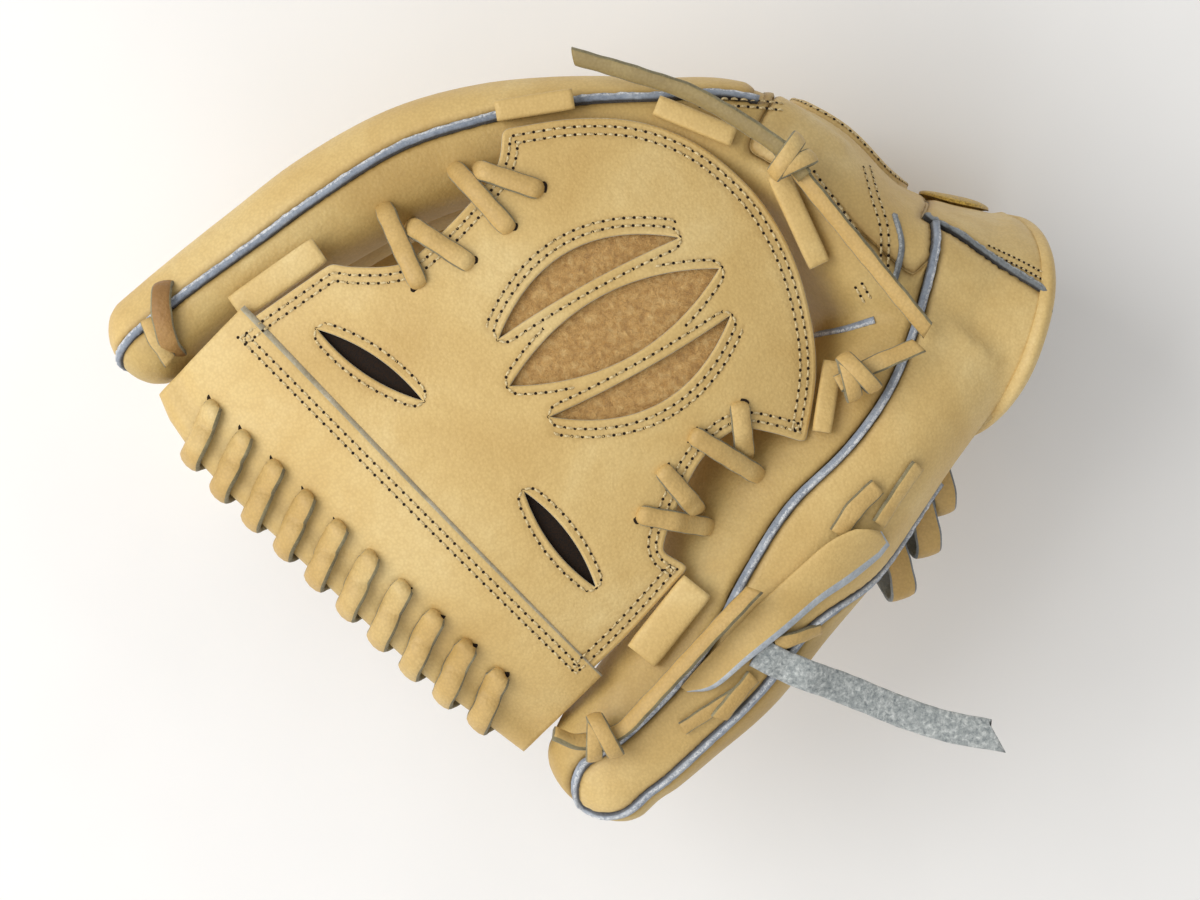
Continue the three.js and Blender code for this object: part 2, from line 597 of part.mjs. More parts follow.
// The rim: a folded strip along the web's open edge. Its reach past the seam, by distance along the seam.
const RIM_START = [-111, 35.4];
const RIM_ALONG = { x: 0.706, y: -0.708 };
const RIM_OUT = { x: -0.708, y: -0.706 };
const RIM_REACH = [
  [-3, 29.5], [4.5, 32.5], [17.5, 34.8], [31, 35.4], [44, 34.8], [57, 34.2], [70.5, 33.8], [83.5, 33.6],
  [96.5, 33.3], [110, 33], [123, 32], [136, 30.3], [152.5, 28.5],
];
function rimReach(s) {
  const i = Math.max(1, RIM_REACH.findIndex(([at]) => at >= s));
  const [[s0, r0], [s1, r1]] = [RIM_REACH[i - 1], RIM_REACH[i]];
  return r0 + ((r1 - r0) * (s - s0)) / (s1 - s0);
}
function rimPoint(s, q, drop) {
  const x = RIM_START[0] + RIM_ALONG.x * s + RIM_OUT.x * q;
  const y = RIM_START[1] + RIM_ALONG.y * s + RIM_OUT.y * q;
  return [x, y, webHeight(x, y) - drop];
}
const RIM_TOP = LEATHER + 1.5; // depth of the rim's top face under the web's outer face
const foldHeight = (s) => rimPoint(s, rimReach(s) - ROLL, RIM_TOP)[2];
const ROLL = 5.5; // outer radius of the rim's fold

// A solid of many-cornered sections in a row; the caps are cut into triangles from flat, a 2-D copy of a section.
function lofted(rings, flat) {
  const n = flat.length;
  const faces = [];
  for (let i = 0; i + 1 < rings.length; i += 1) {
    for (let j = 0; j < n; j += 1) {
      const [a, b] = [i * n + j, i * n + ((j + 1) % n)];
      faces.push(a, a + n, b, b, a + n, b + n);
    }
  }
  const cap = THREE.ShapeUtils.triangulateShape(flat.map(([x, y]) => new THREE.Vector2(x, y)), []);
  const turn = Math.sign(THREE.ShapeUtils.area(flat.map(([x, y]) => ({ x, y }))));
  const end = (rings.length - 1) * n;
  for (const [a, b, c] of cap) {
    if (turn > 0) faces.push(a, b, c, end + a, end + c, end + b);
    else faces.push(a, c, b, end + a, end + b, end + c);
  }
  return manifoldOf(rings.flat().flat(), faces);
}

function webRim() {
  const profile = (reach) => {
    const fold = [90, 45, 0, -45, -90].map((d) => THREE.MathUtils.degToRad(d));
    const arc = (r) => fold.map((a) => [reach - ROLL + r * Math.cos(a), ROLL - r * Math.sin(a)]);
    return [[-9, 0], ...arc(ROLL), [reach - 17, 2 * ROLL], [reach - 17, 2 * ROLL - LEATHER],
      ...arc(ROLL - LEATHER).reverse(), [-9, LEATHER]];
  };
  const rings = RIM_REACH.map(([s, reach]) => profile(reach).map(([q, drop]) => {
    const [x, y, z] = rimPoint(s, q, RIM_TOP);
    return [x, y, (q > reach - ROLL - 0.1 || drop > LEATHER ? foldHeight(s) : z) - drop];
  }));
  return lofted(rings, profile(30));
}

// The lace wound round the rim: holes along the strip, and the turns between them.
const TURNS = 10;
const PITCH = 13.15;
const FIRST_HOLE = 11.2;
const holeReach = (s) => 19.5 - 0.033 * (s - FIRST_HOLE);
function rimLace() {
  const path = [];
  const sides = [];
  const clear = GAP + 0.9 + LACE.thick / 2;
  const slope = (s) => new THREE.Vector3(RIM_ALONG.x, RIM_ALONG.y, (foldHeight(s + 3) - foldHeight(s - 3)) / 6);
  const turn = (s, degrees) => {
    const a = THREE.MathUtils.degToRad(degrees);
    const r = ROLL + clear + (Math.abs(degrees) < 90 ? 0.9 : 0.1);
    const [x, y] = rimPoint(s, rimReach(s) - ROLL + r * Math.cos(a), 0);
    return [x, y, foldHeight(s) - ROLL + r * Math.sin(a)];
  };
  const under = (s) => [...rimPoint(s, holeReach(s), 0).slice(0, 2), foldHeight(s) - 2 * ROLL - clear - 0.6];
  for (let i = 0; i < TURNS; i += 1) {
    const start = FIRST_HOLE + PITCH * i;
    path.push(under(start), rimPoint(start, holeReach(start), RIM_TOP - clear));
    sides.push(slope(start), slope(start));
    for (const [share, degrees] of [[0.35, 90], [0.5, 32], [0.58, -32], [0.7, -90]]) {
      path.push(turn(start + PITCH * share, degrees));
      sides.push(slope(start + PITCH * share));
    }
  }
  return strip(path, sides.map((side) => side.normalize()));
}
function rimHoles() {
  const [along, across] = [LACE.width / 2 + 1.2, LACE.thick / 2 + 0.9];
  return union(Array.from({ length: TURNS }, (_, i) => {
    const s = FIRST_HOLE + PITCH * i;
    return prism([[-along, -across], [along, -across], [along, across], [-along, across]].map(([a, b]) => (
      rimPoint(s + a, holeReach(s) + b, 0).slice(0, 2)
    )));
  }));
}

// Laces that tie the web to the index stall and the thumb stall: hole in the stall, hole in the web.
const STALL_LACES = {
  index_lace_1: [-65.6, 73.8, -54.3, 49.5],
  index_lace_2: [-58.2, 68.3, -39, 55.8],
  index_lace_3: [-44.5, 85.6, -27.3, 66.3],
  index_lace_4: [-38, 84.7, -18, 78],
  thumb_lace_1: [43.9, -2.5, 42, 13.5],
  thumb_lace_2: [48.5, -8, 27.9, 4.5],
  thumb_lace_3: [30, -19, 18.9, -6],
  thumb_lace_4: [33.5, -23.5, 12, -19.5],
};
const SHORT_WIDTH = 6.2;
function stallLace([sx, sy, wx, wy], spare = 0) {
  const [stallTop, webTop] = [skinHeight(sx, sy), webHeight(wx, wy)];
  const clear = GAP + LACE.thick / 2;
  const between = (t, lift) => [
    sx + (wx - sx) * t,
    sy + (wy - sy) * t,
    stallTop + clear + (webTop - stallTop) * t + lift,
  ];
  const over = 2.6;
  const path = [
    [sx, sy, stallTop - 4.2], [sx, sy, stallTop + 0.6], between(0.2, over), between(0.5, over + 1),
    between(0.8, over - 0.6), [wx, wy, webTop + 0.6], [wx, wy, webTop - 5.5],
  ];
  return strip(path, levelSide([sx, sy], [wx, wy]), {
    width: SHORT_WIDTH + 2 * spare,
    thick: LACE.thick + 2 * spare,
  });
}

// Rolled leather tabs along the web's edge: both ends of the middle line in plan, and the width.
const TABS = [
  [-110, 42.6, -84.5, 60.4, 9],
  [-31.5, 102.2, -8, 106, 6.5, 1.6],
  [17, 104.2, 40.5, 94.5, 6.5],
  [53.5, 83.5, 66.5, 56, 7, 0.3],
  [70.5, 27, 67, 5.5, 6],
  [29.5, -41, 12.5, -62.5, 11],
];
const TAB_THICK = 4.6;
function footprint([x1, y1, x2, y2, width], grow) {
  const side = levelSide([x1, y1], [x2, y2]).multiplyScalar(width / 2 + grow);
  const end = new THREE.Vector2(x2 - x1, y2 - y1).normalize().multiplyScalar(grow);
  return [
    [x1 - side.x - end.x, y1 - side.y - end.y], [x2 - side.x + end.x, y2 - side.y + end.y],
    [x2 + side.x + end.x, y2 + side.y + end.y], [x1 + side.x - end.x, y1 + side.y - end.y],
  ];
}
function tab([x1, y1, x2, y2, width, lift = 0]) {
  const side = levelSide([x1, y1], [x2, y2]);
  const ends = [[x1, y1], [(x1 + x2) / 2, (y1 + y2) / 2], [x2, y2]];
  const heights = ends.map(([x, y]) => Math.max(
    ...[-0.5, 0, 0.5].map((t) => skinHeight(x + side.x * width * t, y + side.y * width * t)),
    webHeight(x, y) - LEATHER - TAB_THICK,
  ));
  const half = TAB_THICK / 2;
  const round = [[-1, -0.45], [-0.8, -1], [0.8, -1], [1, -0.45], [1, 0.45], [0.8, 1], [-0.8, 1], [-1, 0.45]];
  const rings = ends.map(([x, y], i) => round.map(([a, b]) => [
    x + (side.x * a * width) / 2,
    y + (side.y * a * width) / 2,
    heights[i] + GAP + 0.3 + lift + half + b * half,
  ]));
  return lofted(rings, round);
}

// Loose tails and knots. A knot is a band round its tails; axis is the band's direction in plan, in degrees.
function knot([x, y, z], degrees, [wide, high] = [6.4, 4.8]) {
  const turn = THREE.MathUtils.degToRad(degrees);
  const axis = new THREE.Vector3(Math.cos(turn), Math.sin(turn), 0);
  const across = new THREE.Vector3(-axis.y, axis.x, 0);
  const up = new THREE.Vector3(0, 0, 1);
  const sections = anglesOf(8).map((degree) => {
    const a = THREE.MathUtils.degToRad(degree);
    const out = across.clone().multiplyScalar(Math.cos(a) / wide).addScaledVector(up, Math.sin(a) / high).normalize();
    const p = new THREE.Vector3(x, y, z).addScaledVector(across, wide * Math.cos(a))
      .addScaledVector(up, high * Math.sin(a));
    return section(p, axis, out, LACE.width, LACE.thick);
  });
  return bar(sections, true);
}
const KNOTS = {
  knot_crotch: [57, 87, 148.5, 130],
  knot_heel: [76.5, 22.5, 145.6, 29],
  knot_thumb: [0, -86.8, 136.2, 14],
};
const TAILS = {
  tail_crotch_long: [[61.5, 82, 149.7], [53, 91.4, 149.7], [30, 106, 147], [11, 113, 144.5], [-8, 118.7, 142.5]],
  tail_crotch_short: [[53.5, 91.5, 147.1], [61, 82, 147.1], [74, 66, 146.5], [88, 49, 144.5], [99, 36, 140.5]],
  tail_heel: [[71.5, 19.8, 145.6], [81, 25, 145.6], [89, 28.5, 144.6], [96, 31.5, 143.5]],
  tail_thumb: [[-14, -85.5, 138], [-6, -88.3, 136.2], [5.5, -85.4, 136.2], [14, -77, 139.5], [25, -65, 142.5],
    [36, -53, 144.5], [46.5, -42, 145.5]],
};
const tail = (path, width = 5.4) => strip(path, levelSide(path[0], path[path.length - 1]), { width, thick: 1.9 });

// A strip lying on the skin: points in plan with their heights above it.
function lying(points, width, onwards = [], thick = 1.9) {
  const level = levelSide(points[0], points[points.length - 1]);
  const path = [];
  const sides = [];
  for (const [x, y, lift] of points) {
    const [a, b, c] = [-0.5, 0, 0.5].map((t) => skinHeight(x + level.x * width * t, y + level.y * width * t));
    path.push([x, y, Math.max(b, (a + c) / 2) + lift + thick / 2]);
    sides.push(new THREE.Vector3(level.x * width, level.y * width, c - a).normalize());
  }
  for (const point of onwards) {
    path.push(point);
    sides.push(level);
  }
  return strip(path, sides, { width, thick });
}
const LYING = {
  thumb_tail_1: [[[72, -25.5, 0.6], [77, -18, 0.8], [84, -11, 0.6]], 6],
  thumb_tail_2: [[[84.5, -22.5, 0.8], [91, -12.5, 1], [96.5, -4.6, 0.8]], 5],
  thumb_tie: [[[25, -84.6, 0.6], [33.5, -79, 0.6], [42, -73.4, 0.6]], 4.4],
};
const TONGUE = [[47.5, -61.2, 0.7], [52, -63.6, 1.5], [57, -66, 3.2]];
const TONGUE_TAIL = [[63.5, -68.6, 133], [70, -71, 128.5], [78, -74.2, 124.5], [93.3, -80.5, 119.5], [106.8, -84.8, 117.5],
  [121.5, -87.6, 116]];

// The lace through the finger tips: from stall to stall, and over the index tip.
const TIP_LACES = {
  tip_lace_1: [[-122.6, 33.6, 113], [-116.5, 33, 94]],
  tip_lace_2: [[-114, 32, 80], [-99.5, 21, 60]],
  tip_lace_3: [[-102, 23, 46], [-90, 9.5, 26]],
};
const tipLace = (path, spare = 0) => strip(path, new THREE.Vector3(-0.75, -0.66, 0), {
  width: LACE.width + 2 * spare,
  thick: LACE.thick + 2 * spare,
});
function indexTipLace(spare = 0) {
  const points = [[-131.5, 50.5, -5], [-132.5, 49.6, 3.5], [-132.6, 42.5, 4.7], [-130.6, 33, 3.4], [-127.8, 27.5, -4]];
  const path = points.map(([x, y, lift]) => [x, y, skinHeight(x, y) + lift]);
  return strip(path, new THREE.Vector3(1, 0.15, 0).normalize(), { width: 6.2 + 2 * spare, thick: 2 + 2 * spare });
}

// The thumb's cover: left and right edge in plan and how far each stands off the skin, from tip to wrist.
const COVER = [
  [24.5, -71.8, 1.2, 26.5, -73.4, 1.2],
  [30.3, -65.1, 0.7, 34.8, -72.1, 2],
  [40.9, -53.9, 0.7, 45.1, -63.6, 3.2],
  [50, -44.8, 0.7, 56, -55.1, 3.2],
  [60.6, -35.1, 0.8, 66.6, -46.3, 1.2],
  [69, -27.9, 3, 75.7, -40.3, 1],
  [76.3, -24.2, 4, 82.4, -35.1, 1.4],
  [82.4, -24.2, 4.4, 86.6, -30.9, 2],
];
function thumbCover() {
  const rings = COVER.map(([lx, ly, liftL, rx, ry, liftR]) => {
    const across = [0, 1 / 3, 2 / 3, 1].map((t) => {
      const [x, y] = [lx + (rx - lx) * t, ly + (ry - ly) * t];
      return [x, y, skinHeight(x, y) + liftL + (liftR - liftL) * t];
    });
    return [...across, ...across.map(([x, y, z]) => [x, y, z + 1.8]).reverse()];
  });
  return lofted(rings, [[0, 0], [1, 0], [2, 0], [3, 0], [3, 1], [2, 1], [1, 1], [0, 1]]);
}

// Lace loops at the heel: root and end of each loop in plan, and its width.
const HEEL_LOOPS = [
  [91.5, -31.5, 96, -44.6, 8],
  [100, -18.5, 103.8, -31.5, 8],
  [105.5, -8.5, 108.6, -18.6, 7.5],
];
const HEEL_HEIGHT = 94;
function heelLoop([rx, ry, ex, ey, width], spare = 0) {
  const out = new THREE.Vector2(ex - rx, ey - ry);
  const side = new THREE.Vector3(out.y, -out.x, 0).normalize();
  const path = [100, 60, 30, 0, -30, -60, -100].map((degrees) => {
    const a = THREE.MathUtils.degToRad(degrees);
    return [rx + out.x * Math.cos(a), ry + out.y * Math.cos(a), HEEL_HEIGHT + 6.5 * Math.sin(a)];
  });
  return strip(path, side, { width: width + 2 * spare, thick: LACE.thick + 2 * spare });
}

// The padded oval patch on the strap.
function strapPatch() {
  const rings = [-0.92, -0.6, 0, 0.6, 0.92].map((t) => {
    const z = 66 + 22 * t;
    const half = 11 * Math.sqrt(1 - t * t);
    const at = (share, lift) => {
      const met = skinHit(new THREE.Vector3(112 + share * half, 200, z), new THREE.Vector3(0, -1, 0));
      return [met.x, met.y + lift, z];
    };
    return [...[-1, 0, 1].map((s) => at(s, 0.9)), ...[1, 0, -1].map((s) => at(s * 0.94, 3))];
  });
  return lofted(rings, [[-1, 0], [0, 0], [1, 0], [1, 1], [0, 1], [-1, 1]]);
}

const group = new THREE.Group();
function place(name, whole, material) {
  const solid = whole.simplify(FINEST);
  const mesh = solid.getMesh();
  const geometry = new THREE.BufferGeometry();
  geometry.setAttribute('position', new THREE.Float32BufferAttribute(mesh.vertProperties, 3));
  geometry.setIndex(new THREE.Uint32BufferAttribute(mesh.triVerts, 1));
  const object = new THREE.Mesh(geometry, material);
  object.name = name;
  group.add(object);
}

const leather = new THREE.MeshStandardMaterial({ color: 0xe3bf7d, roughness: 0.6, metalness: 0 });
const laceLeather = new THREE.MeshStandardMaterial({ color: 0xd9b877, roughness: 0.65, metalness: 0 });
const suede = new THREE.MeshStandardMaterial({ color: 0xc79a5e, roughness: 0.95, metalness: 0 });
const greyEdge = new THREE.MeshStandardMaterial({ color: 0x8d94a3, roughness: 0.95, metalness: 0 });
const embroidery = new THREE.MeshStandardMaterial({ color: 0xb98a35, roughness: 0.5, metalness: 0.2 });

// Holes for the laces.
const stallHoles = union(Object.values(STALL_LACES).map((lace) => stallLace(lace, GAP)));
const heelHoles = union(HEEL_LOOPS.map((loop) => heelLoop(loop, GAP)));
const tipHoles = union([indexTipLace(GAP), ...Object.values(TIP_LACES).map((path) => tipLace(path, GAP))]);
const laceHoles = union([stallHoles, heelHoles, tipHoles]);

for (const [name, solid] of Object.entries(pieces)) place(name, largest(solid.subtract(laceHoles)), leather);
for (const [name, rows] of Object.entries(FINGERS)) {
  place(`${name}_welt`, welt(rows, WELT_STARTS[name]), greyEdge);
}
place('thumb_welt', welt(THUMB, { nearFrom: 3.5, farFrom: 0.5 }), greyEdge);
place('wrist_binding', wristBinding(), leather);
place('opening_binding', openingBinding(), leather);
place('strap_patch', strapPatch(), embroidery);

let web = webLayer(0, LEATHER).intersect(prism(WEB_OUTLINE)).subtract(stallHoles);
for (const window of [...WINDOWS, ...SLITS]) web = web.subtract(prism(leaf(window)));
const backing = webLayer(LEATHER + GAP, LEATHER + GAP + 1.4).intersect(
  prism(leaf([...webPoint(22, 30), 46, 40, 0, AXIS_DEGREES], 9)),
);
place('web_panel', largest(web), leather);
place('web_backing', largest(backing.subtract(stallHoles)), suede);
const rimKeepOut = stall(INDEX, { from: 4, grow: grownBy(GAP) }).add(prism(footprint(TABS[0], GAP)));
place('web_rim', largest(webRim().subtract(rimHoles()).subtract(rimKeepOut)), leather);
place('rim_lace', rimLace(), laceLeather);
const webZone = webLayer(-20, RIM_TOP).intersect(prism(grownOutline(WEB_OUTLINE, GAP)));
TABS.forEach((row, i) => place(`web_tab_${i + 1}`, largest(tab(row).subtract(webZone)), leather));
for (const [name, row] of Object.entries(STALL_LACES)) place(name, stallLace(row), laceLeather);
place('thumb_cover', thumbCover(), leather);
HEEL_LOOPS.forEach((row, i) => place(`heel_loop_${i + 1}`, heelLoop(row), laceLeather));
for (const [name, path] of Object.entries(TIP_LACES)) place(name, tipLace(path), laceLeather);
place('tip_lace_index', indexTipLace(), suede);
for (const [name, [x, y, z, degrees]] of Object.entries(KNOTS)) place(name, knot([x, y, z], degrees), laceLeather);
for (const [name, path] of Object.entries(TAILS)) place(name, tail(path), laceLeather);
for (const [name, row] of Object.entries(LYING)) place(name, lying(...row), laceLeather);
place('tongue', lying(TONGUE, 9.5, TONGUE_TAIL), greyEdge);

group.position.set(-CENTRE.x, -CENTRE.y, 0);
export default group;
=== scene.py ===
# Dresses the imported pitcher's glove: smooth leather skins, raw edges, laces, stitches, light and camera.
import math

import bpy
import numpy as np
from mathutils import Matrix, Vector
from mathutils.bvhtree import BVHTree
from mathutils.geometry import delaunay_2d_cdt


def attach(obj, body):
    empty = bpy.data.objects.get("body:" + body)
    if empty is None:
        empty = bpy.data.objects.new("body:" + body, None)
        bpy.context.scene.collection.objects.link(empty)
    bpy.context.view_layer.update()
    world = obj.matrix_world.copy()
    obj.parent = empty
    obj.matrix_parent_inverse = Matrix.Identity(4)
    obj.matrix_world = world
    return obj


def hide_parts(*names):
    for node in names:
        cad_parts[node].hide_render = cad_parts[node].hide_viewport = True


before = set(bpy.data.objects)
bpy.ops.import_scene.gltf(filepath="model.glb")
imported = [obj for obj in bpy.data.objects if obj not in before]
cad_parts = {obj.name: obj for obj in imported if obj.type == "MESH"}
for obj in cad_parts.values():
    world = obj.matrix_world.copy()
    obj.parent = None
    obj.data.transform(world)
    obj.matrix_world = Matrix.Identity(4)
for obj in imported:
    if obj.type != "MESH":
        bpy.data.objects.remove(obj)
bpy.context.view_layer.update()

# Sizes below are millimetres in the glove's own drawing frame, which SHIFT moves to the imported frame.
MM = 0.001
SHIFT = np.array([5.1, 0.0, 0.0])
CAMERA = {"height": 1650.0, "lens": 150.0, "sensor": 36.0}

LEATHER = 2.2
WELT = {"width": 2.6, "slot": 1.25, "proud": 1.0}
LACE = {"width": 6.6, "thick": 2.1}
GAP = 0.35
SKIN_STEP = 1.7
SKIN_WALL = 3.2
SKIN_EDGE = 1.3
TURN_IN = {"depth": 1.2, "reach": 3.0}
SOLE = 0.6  # thinnest leather over the floor
ROUNDNESS = 2.35
RIM = 5.0
WRIST_BULGE = 15.0
WEB_TOP = 154.0

# Sections from root to tip: place, half sizes up, down, near and far, roll, and the two seams' angles.
Z, UP, DOWN, NEAR, FAR, ROLL_DEG, SEAM_NEAR, SEAM_FAR = range(2, 10)
INDEX = [
    [73, 77, 118, 16, 16, 14, 14, 0, 30, -90],
    [43, 94, 121, 18, 17, 16, 15.6, 0, 45, -90],
    [15.5, 97, 122, 16.7, 16.5, 16, 15.6, 0, 56, -90],
    [-9, 97, 122, 17.2, 17, 16, 15.6, 0, 63, -90],
    [-34, 94, 122, 18, 17.5, 16, 15.6, 0, 73, -90],
    [-58, 86.3, 122, 18.8, 17.5, 16, 15.6, -5, 78, -90],
    [-82.5, 73, 122, 18.3, 17, 16, 15.6, -10, 86, -90],
    [-103.5, 59, 121, 16.3, 16, 16, 15.5, -18, 93, -90],
    [-122.5, 45, 121, 15.3, 14.8, 15, 14, -28, 100, -88],
    [-137, 33.5, 121, 15, 14.2, 14, 12.5, -35, 105, -85],
]
MIDDLE = [
    [73, 77, 87, 14, 16, 15.6, 15.6, 0, 90, -90],
    [44, 93, 87, 17, 17, 15.6, 15.6, 0, 90, -90],
    [-9, 95.5, 87, 17, 17, 15.6, 15.6, 0, 90, -90],
    [-56, 85, 87, 18.5, 17.5, 15.6, 15.6, 0, 90, -90],
    [-93, 63, 87, 18, 16, 15.6, 15.6, 0, 90, -90],
    [-115, 45, 87, 15, 14, 14, 14, 0, 90, -90],
    [-127, 32, 87, 12, 11.5, 12, 12, 0, 90, -90],
]
RING = [
    [74, 75, 53, 14, 16, 15.6, 15.6, 0, 90, -90],
    [45, 91, 53, 17, 17, 15.6, 15.6, 0, 90, -90],
    [-10, 93, 53, 17, 17, 15.6, 15.6, 0, 90, -90],
    [-56, 79, 53, 17.5, 17.5, 15.6, 15.6, 0, 90, -90],
    [-91, 51, 53, 16.5, 16, 15.6, 15.6, 0, 90, -90],
    [-110, 26, 53, 14.5, 14, 14, 14, 0, 90, -90],
    [-118, 9, 53, 12, 11.5, 12, 12, 0, 90, -90],
]
LITTLE = [
    [74, 73, 21, 11, 16, 14, 20, 0, 90, -90],
    [47, 88, 18.5, 17, 17, 15.6, 20, 0, 90, -90],
    [-3, 89, 18.5, 17, 17, 15.6, 20, 0, 90, -90],
    [-47, 73, 18.5, 17.5, 17.5, 15.6, 20, 0, 90, -90],
    [-82, 43, 18.5, 16.5, 16, 15.6, 20, 0, 90, -90],
    [-101, 13, 18.5, 14.5, 14, 14, 19, 0, 90, -90],
    [-107, -5, 18.5, 12, 11.5, 12, 16, 0, 90, -90],
]
THUMB = [
    [128, 62, 101, 30, 24, 27, 33, 90, 90, -50],
    [118, 49, 102, 30, 24, 27, 33, 90, 90, -35],
    [108, 36, 103, 30, 24, 27, 33, 90, 90, -21],
    [92, 16, 105, 31, 24, 26, 33, 90, 90, -7],
    [77, -3, 107, 30, 24, 27.5, 35, 90, 88, -4],
    [63, -23, 109, 28, 22, 28, 39, 90, 78, -9],
    [49.5, -43, 111, 26, 20, 25.5, 36, 90, 46, -9],
    [36.3, -62.5, 112, 23, 18, 23.5, 29, 90, 43, -7],
    [21.2, -78.2, 112, 20, 16.5, 21.5, 25, 90, 46, -5],
    [8.2, -91.8, 112, 17.5, 14.5, 19.5, 22.5, 90, 48, -8],
    [2, -100.5, 112, 15, 12.5, 16.5, 20.5, 90, 46, -22],
]
HAND = [
    [121.5, 38, 66, 36, 36, 61, 67.5, 0, 68, -90],
    [110.5, 41.5, 66, 37.5, 38, 63.5, 67.5, 0, 58, -90],
    [98, 50, 67, 33, 36, 66, 68.5, 0, 44, -90],
    [80, 65, 68, 23.5, 30, 69, 69.5, 0, 28, -90],
    [61, 81.5, 69, 25, 22, 69, 70.5, 0, 25, -90],
    [43, 91.5, 69, 22.5, 17, 66, 70.5, 0, 25, -90],
]
# Cuts. "from", "to" and STRAP_END count HAND's rows; "near" and "far" are heights.
OPENING = {"from": 2.95, "to": 4.65, "near": 106, "far": 28}
STRAP_END = 2.7
WRIST_CUT = 3.2  # the skin ends this far under the wrist's roll
PANEL = {"from": 2.3, "to": 4.93}
# The heights that a stall's back lies between, and the row of its table where each of its two welts starts.
LEVELS = {"index": (104.6, 160), "middle": (70, 104.6), "ring": (35.8, 70), "little": (-1, 35.8)}
WELT_STARTS = {"index": (1, 2), "middle": (2, 2), "ring": (2, 2), "little": (2, 1), "thumb": (3.5, 0.5)}
FOREVER = 1e3  # a distance larger than any on the glove
UPRIGHT = np.array([0.0, 0.0, 1.0])


def unit(v):
    return v / np.maximum(np.linalg.norm(v, axis=-1, keepdims=True), 1e-12)


def smooth_step(x):
    x = np.clip(x, 0, 1)
    return x * x * (3 - 2 * x)


def catmull(rows, u):
    """Rows of numbers at places u, counted in rows, on a smooth curve through them."""
    rows = np.asarray(rows, float)
    u = np.atleast_1d(np.asarray(u, float))
    last = len(rows) - 1
    i = np.clip(np.floor(u).astype(int), 0, last - 1)
    t = (u - i)[:, None]
    b, c = rows[i], rows[i + 1]
    before = np.where((i > 0)[:, None], rows[np.maximum(i - 1, 0)], 2 * b - c)
    after = np.where((i + 2 <= last)[:, None], rows[np.minimum(i + 2, last)], 2 * c - b)
    slope_b, slope_c = (c - before) / 2, (after - b) / 2
    cubic = 2 * b - 2 * c + slope_b + slope_c
    square = 3 * c - 3 * b - 2 * slope_b - slope_c
    return ((cubic * t + square) * t + slope_b) * t + b


class Loft:
    """A tube of the glove: a table of sections, with frames and distances worked out from it."""

    def __init__(self, rows):
        self.rows = np.array(rows, float)
        self.last = len(rows) - 1
        self.stations = np.linspace(-0.6, self.last + 0.4, 24 * self.last)
        self.places = catmull(self.rows, self.stations)[:, :3]
        steps = np.linalg.norm(np.diff(self.places, axis=0), axis=1)
        self.lengths = np.concatenate([[0], np.cumsum(steps)])
        self.speed = np.gradient(self.lengths, self.stations)

    def frames(self, u):
        """Rows, directions along, dorsal and side, and places at u."""
        row = catmull(self.rows, u)
        ahead = catmull(self.rows, np.asarray(u) + 0.01)[:, :3]
        behind = catmull(self.rows, np.asarray(u) - 0.01)[:, :3]
        along = unit(ahead - behind)
        flat_side = unit(UPRIGHT - along * along[:, 2:3])
        flat_dorsal = np.cross(along, flat_side)
        roll = np.radians(row[:, ROLL_DEG])[:, None]
        dorsal = flat_dorsal * np.cos(roll) + flat_side * np.sin(roll)
        side = flat_side * np.cos(roll) - flat_dorsal * np.sin(roll)
        return row, along, dorsal, side, row[:, :3]

    def points(self, u, degrees, grow=(0, 0, 0), scale=1.0):
        """Skin points at u for each angle from up towards near: an array [u, angle, xyz]."""
        row, _, dorsal, side, place = self.frames(u)
        angle = np.radians(np.asarray(degrees, float))[None, :]
        c, s = np.cos(angle), np.sin(angle)
        power = 2 / ROUNDNESS
        up = np.where(c > 0, row[:, UP:UP + 1] + grow[0], row[:, DOWN:DOWN + 1] + grow[1])
        across = np.where(s > 0, row[:, NEAR:NEAR + 1], row[:, FAR:FAR + 1]) + grow[2]
        out = np.sign(c) * np.abs(c) ** power * up * scale
        out_side = np.sign(s) * np.abs(s) ** power * across * scale
        return place[:, None] + out[..., None] * dorsal[:, None] + out_side[..., None] * side[:, None]

    def polar(self, u, degrees):
        """True direction, in radians from up towards near, of the skin point at an angle, one angle per u."""
        _, _, dorsal, side, place = self.frames(u)
        found = []
        for k, at in enumerate(np.atleast_1d(u)):
            arm = self.points([at], [degrees[k]])[0, 0] - place[k]
            found.append(math.atan2(arm @ side[k], arm @ dorsal[k]))
        return np.array(found)

    def locate(self, points):
        """Nearest u, length along the line, polar angle and distance from the line, for each point."""
        best = np.full(len(points), np.inf)
        index = np.zeros(len(points), int)
        for k, place in enumerate(self.places):
            distance = ((points - place) ** 2).sum(1)
            nearer = distance < best
            best[nearer] = distance[nearer]
            index[nearer] = k
        _, along, dorsal, side, place = self.frames(self.stations)
        arm = points - place[index]
        ahead = (arm * along[index]).sum(1)
        at_end = (index == 0) | (index == len(self.places) - 1)
        u = self.stations[index] + np.where(at_end, 0, ahead / self.speed[index])
        a, b = (arm * dorsal[index]).sum(1), (arm * side[index]).sum(1)
        return u, self.lengths[index] + ahead, np.arctan2(b, a), np.hypot(a, b)

    def length_at(self, u):
        return np.interp(u, self.stations, self.lengths)

    def wedge(self, points, seams=None):
        """Distance past the nearer seam, negative between them; length along the line; distance off it.
        seams gives two angles in degrees in place of the table's own."""
        u, length, angle, radius = self.locate(points)
        knots = np.linspace(0, self.last, 4 * self.last + 1)
        degrees = catmull(self.rows, knots)[:, [SEAM_NEAR, SEAM_FAR]].T
        if seams is not None:
            degrees = np.tile(np.array(seams, float)[:, None], len(knots))
        near, far = (np.interp(u, knots, self.polar(knots, row)) for row in degrees)
        off = (angle - (near + far) / 2 + np.pi) % (2 * np.pi) - np.pi
        return radius * (np.abs(off) - (near - far) / 2), length, radius


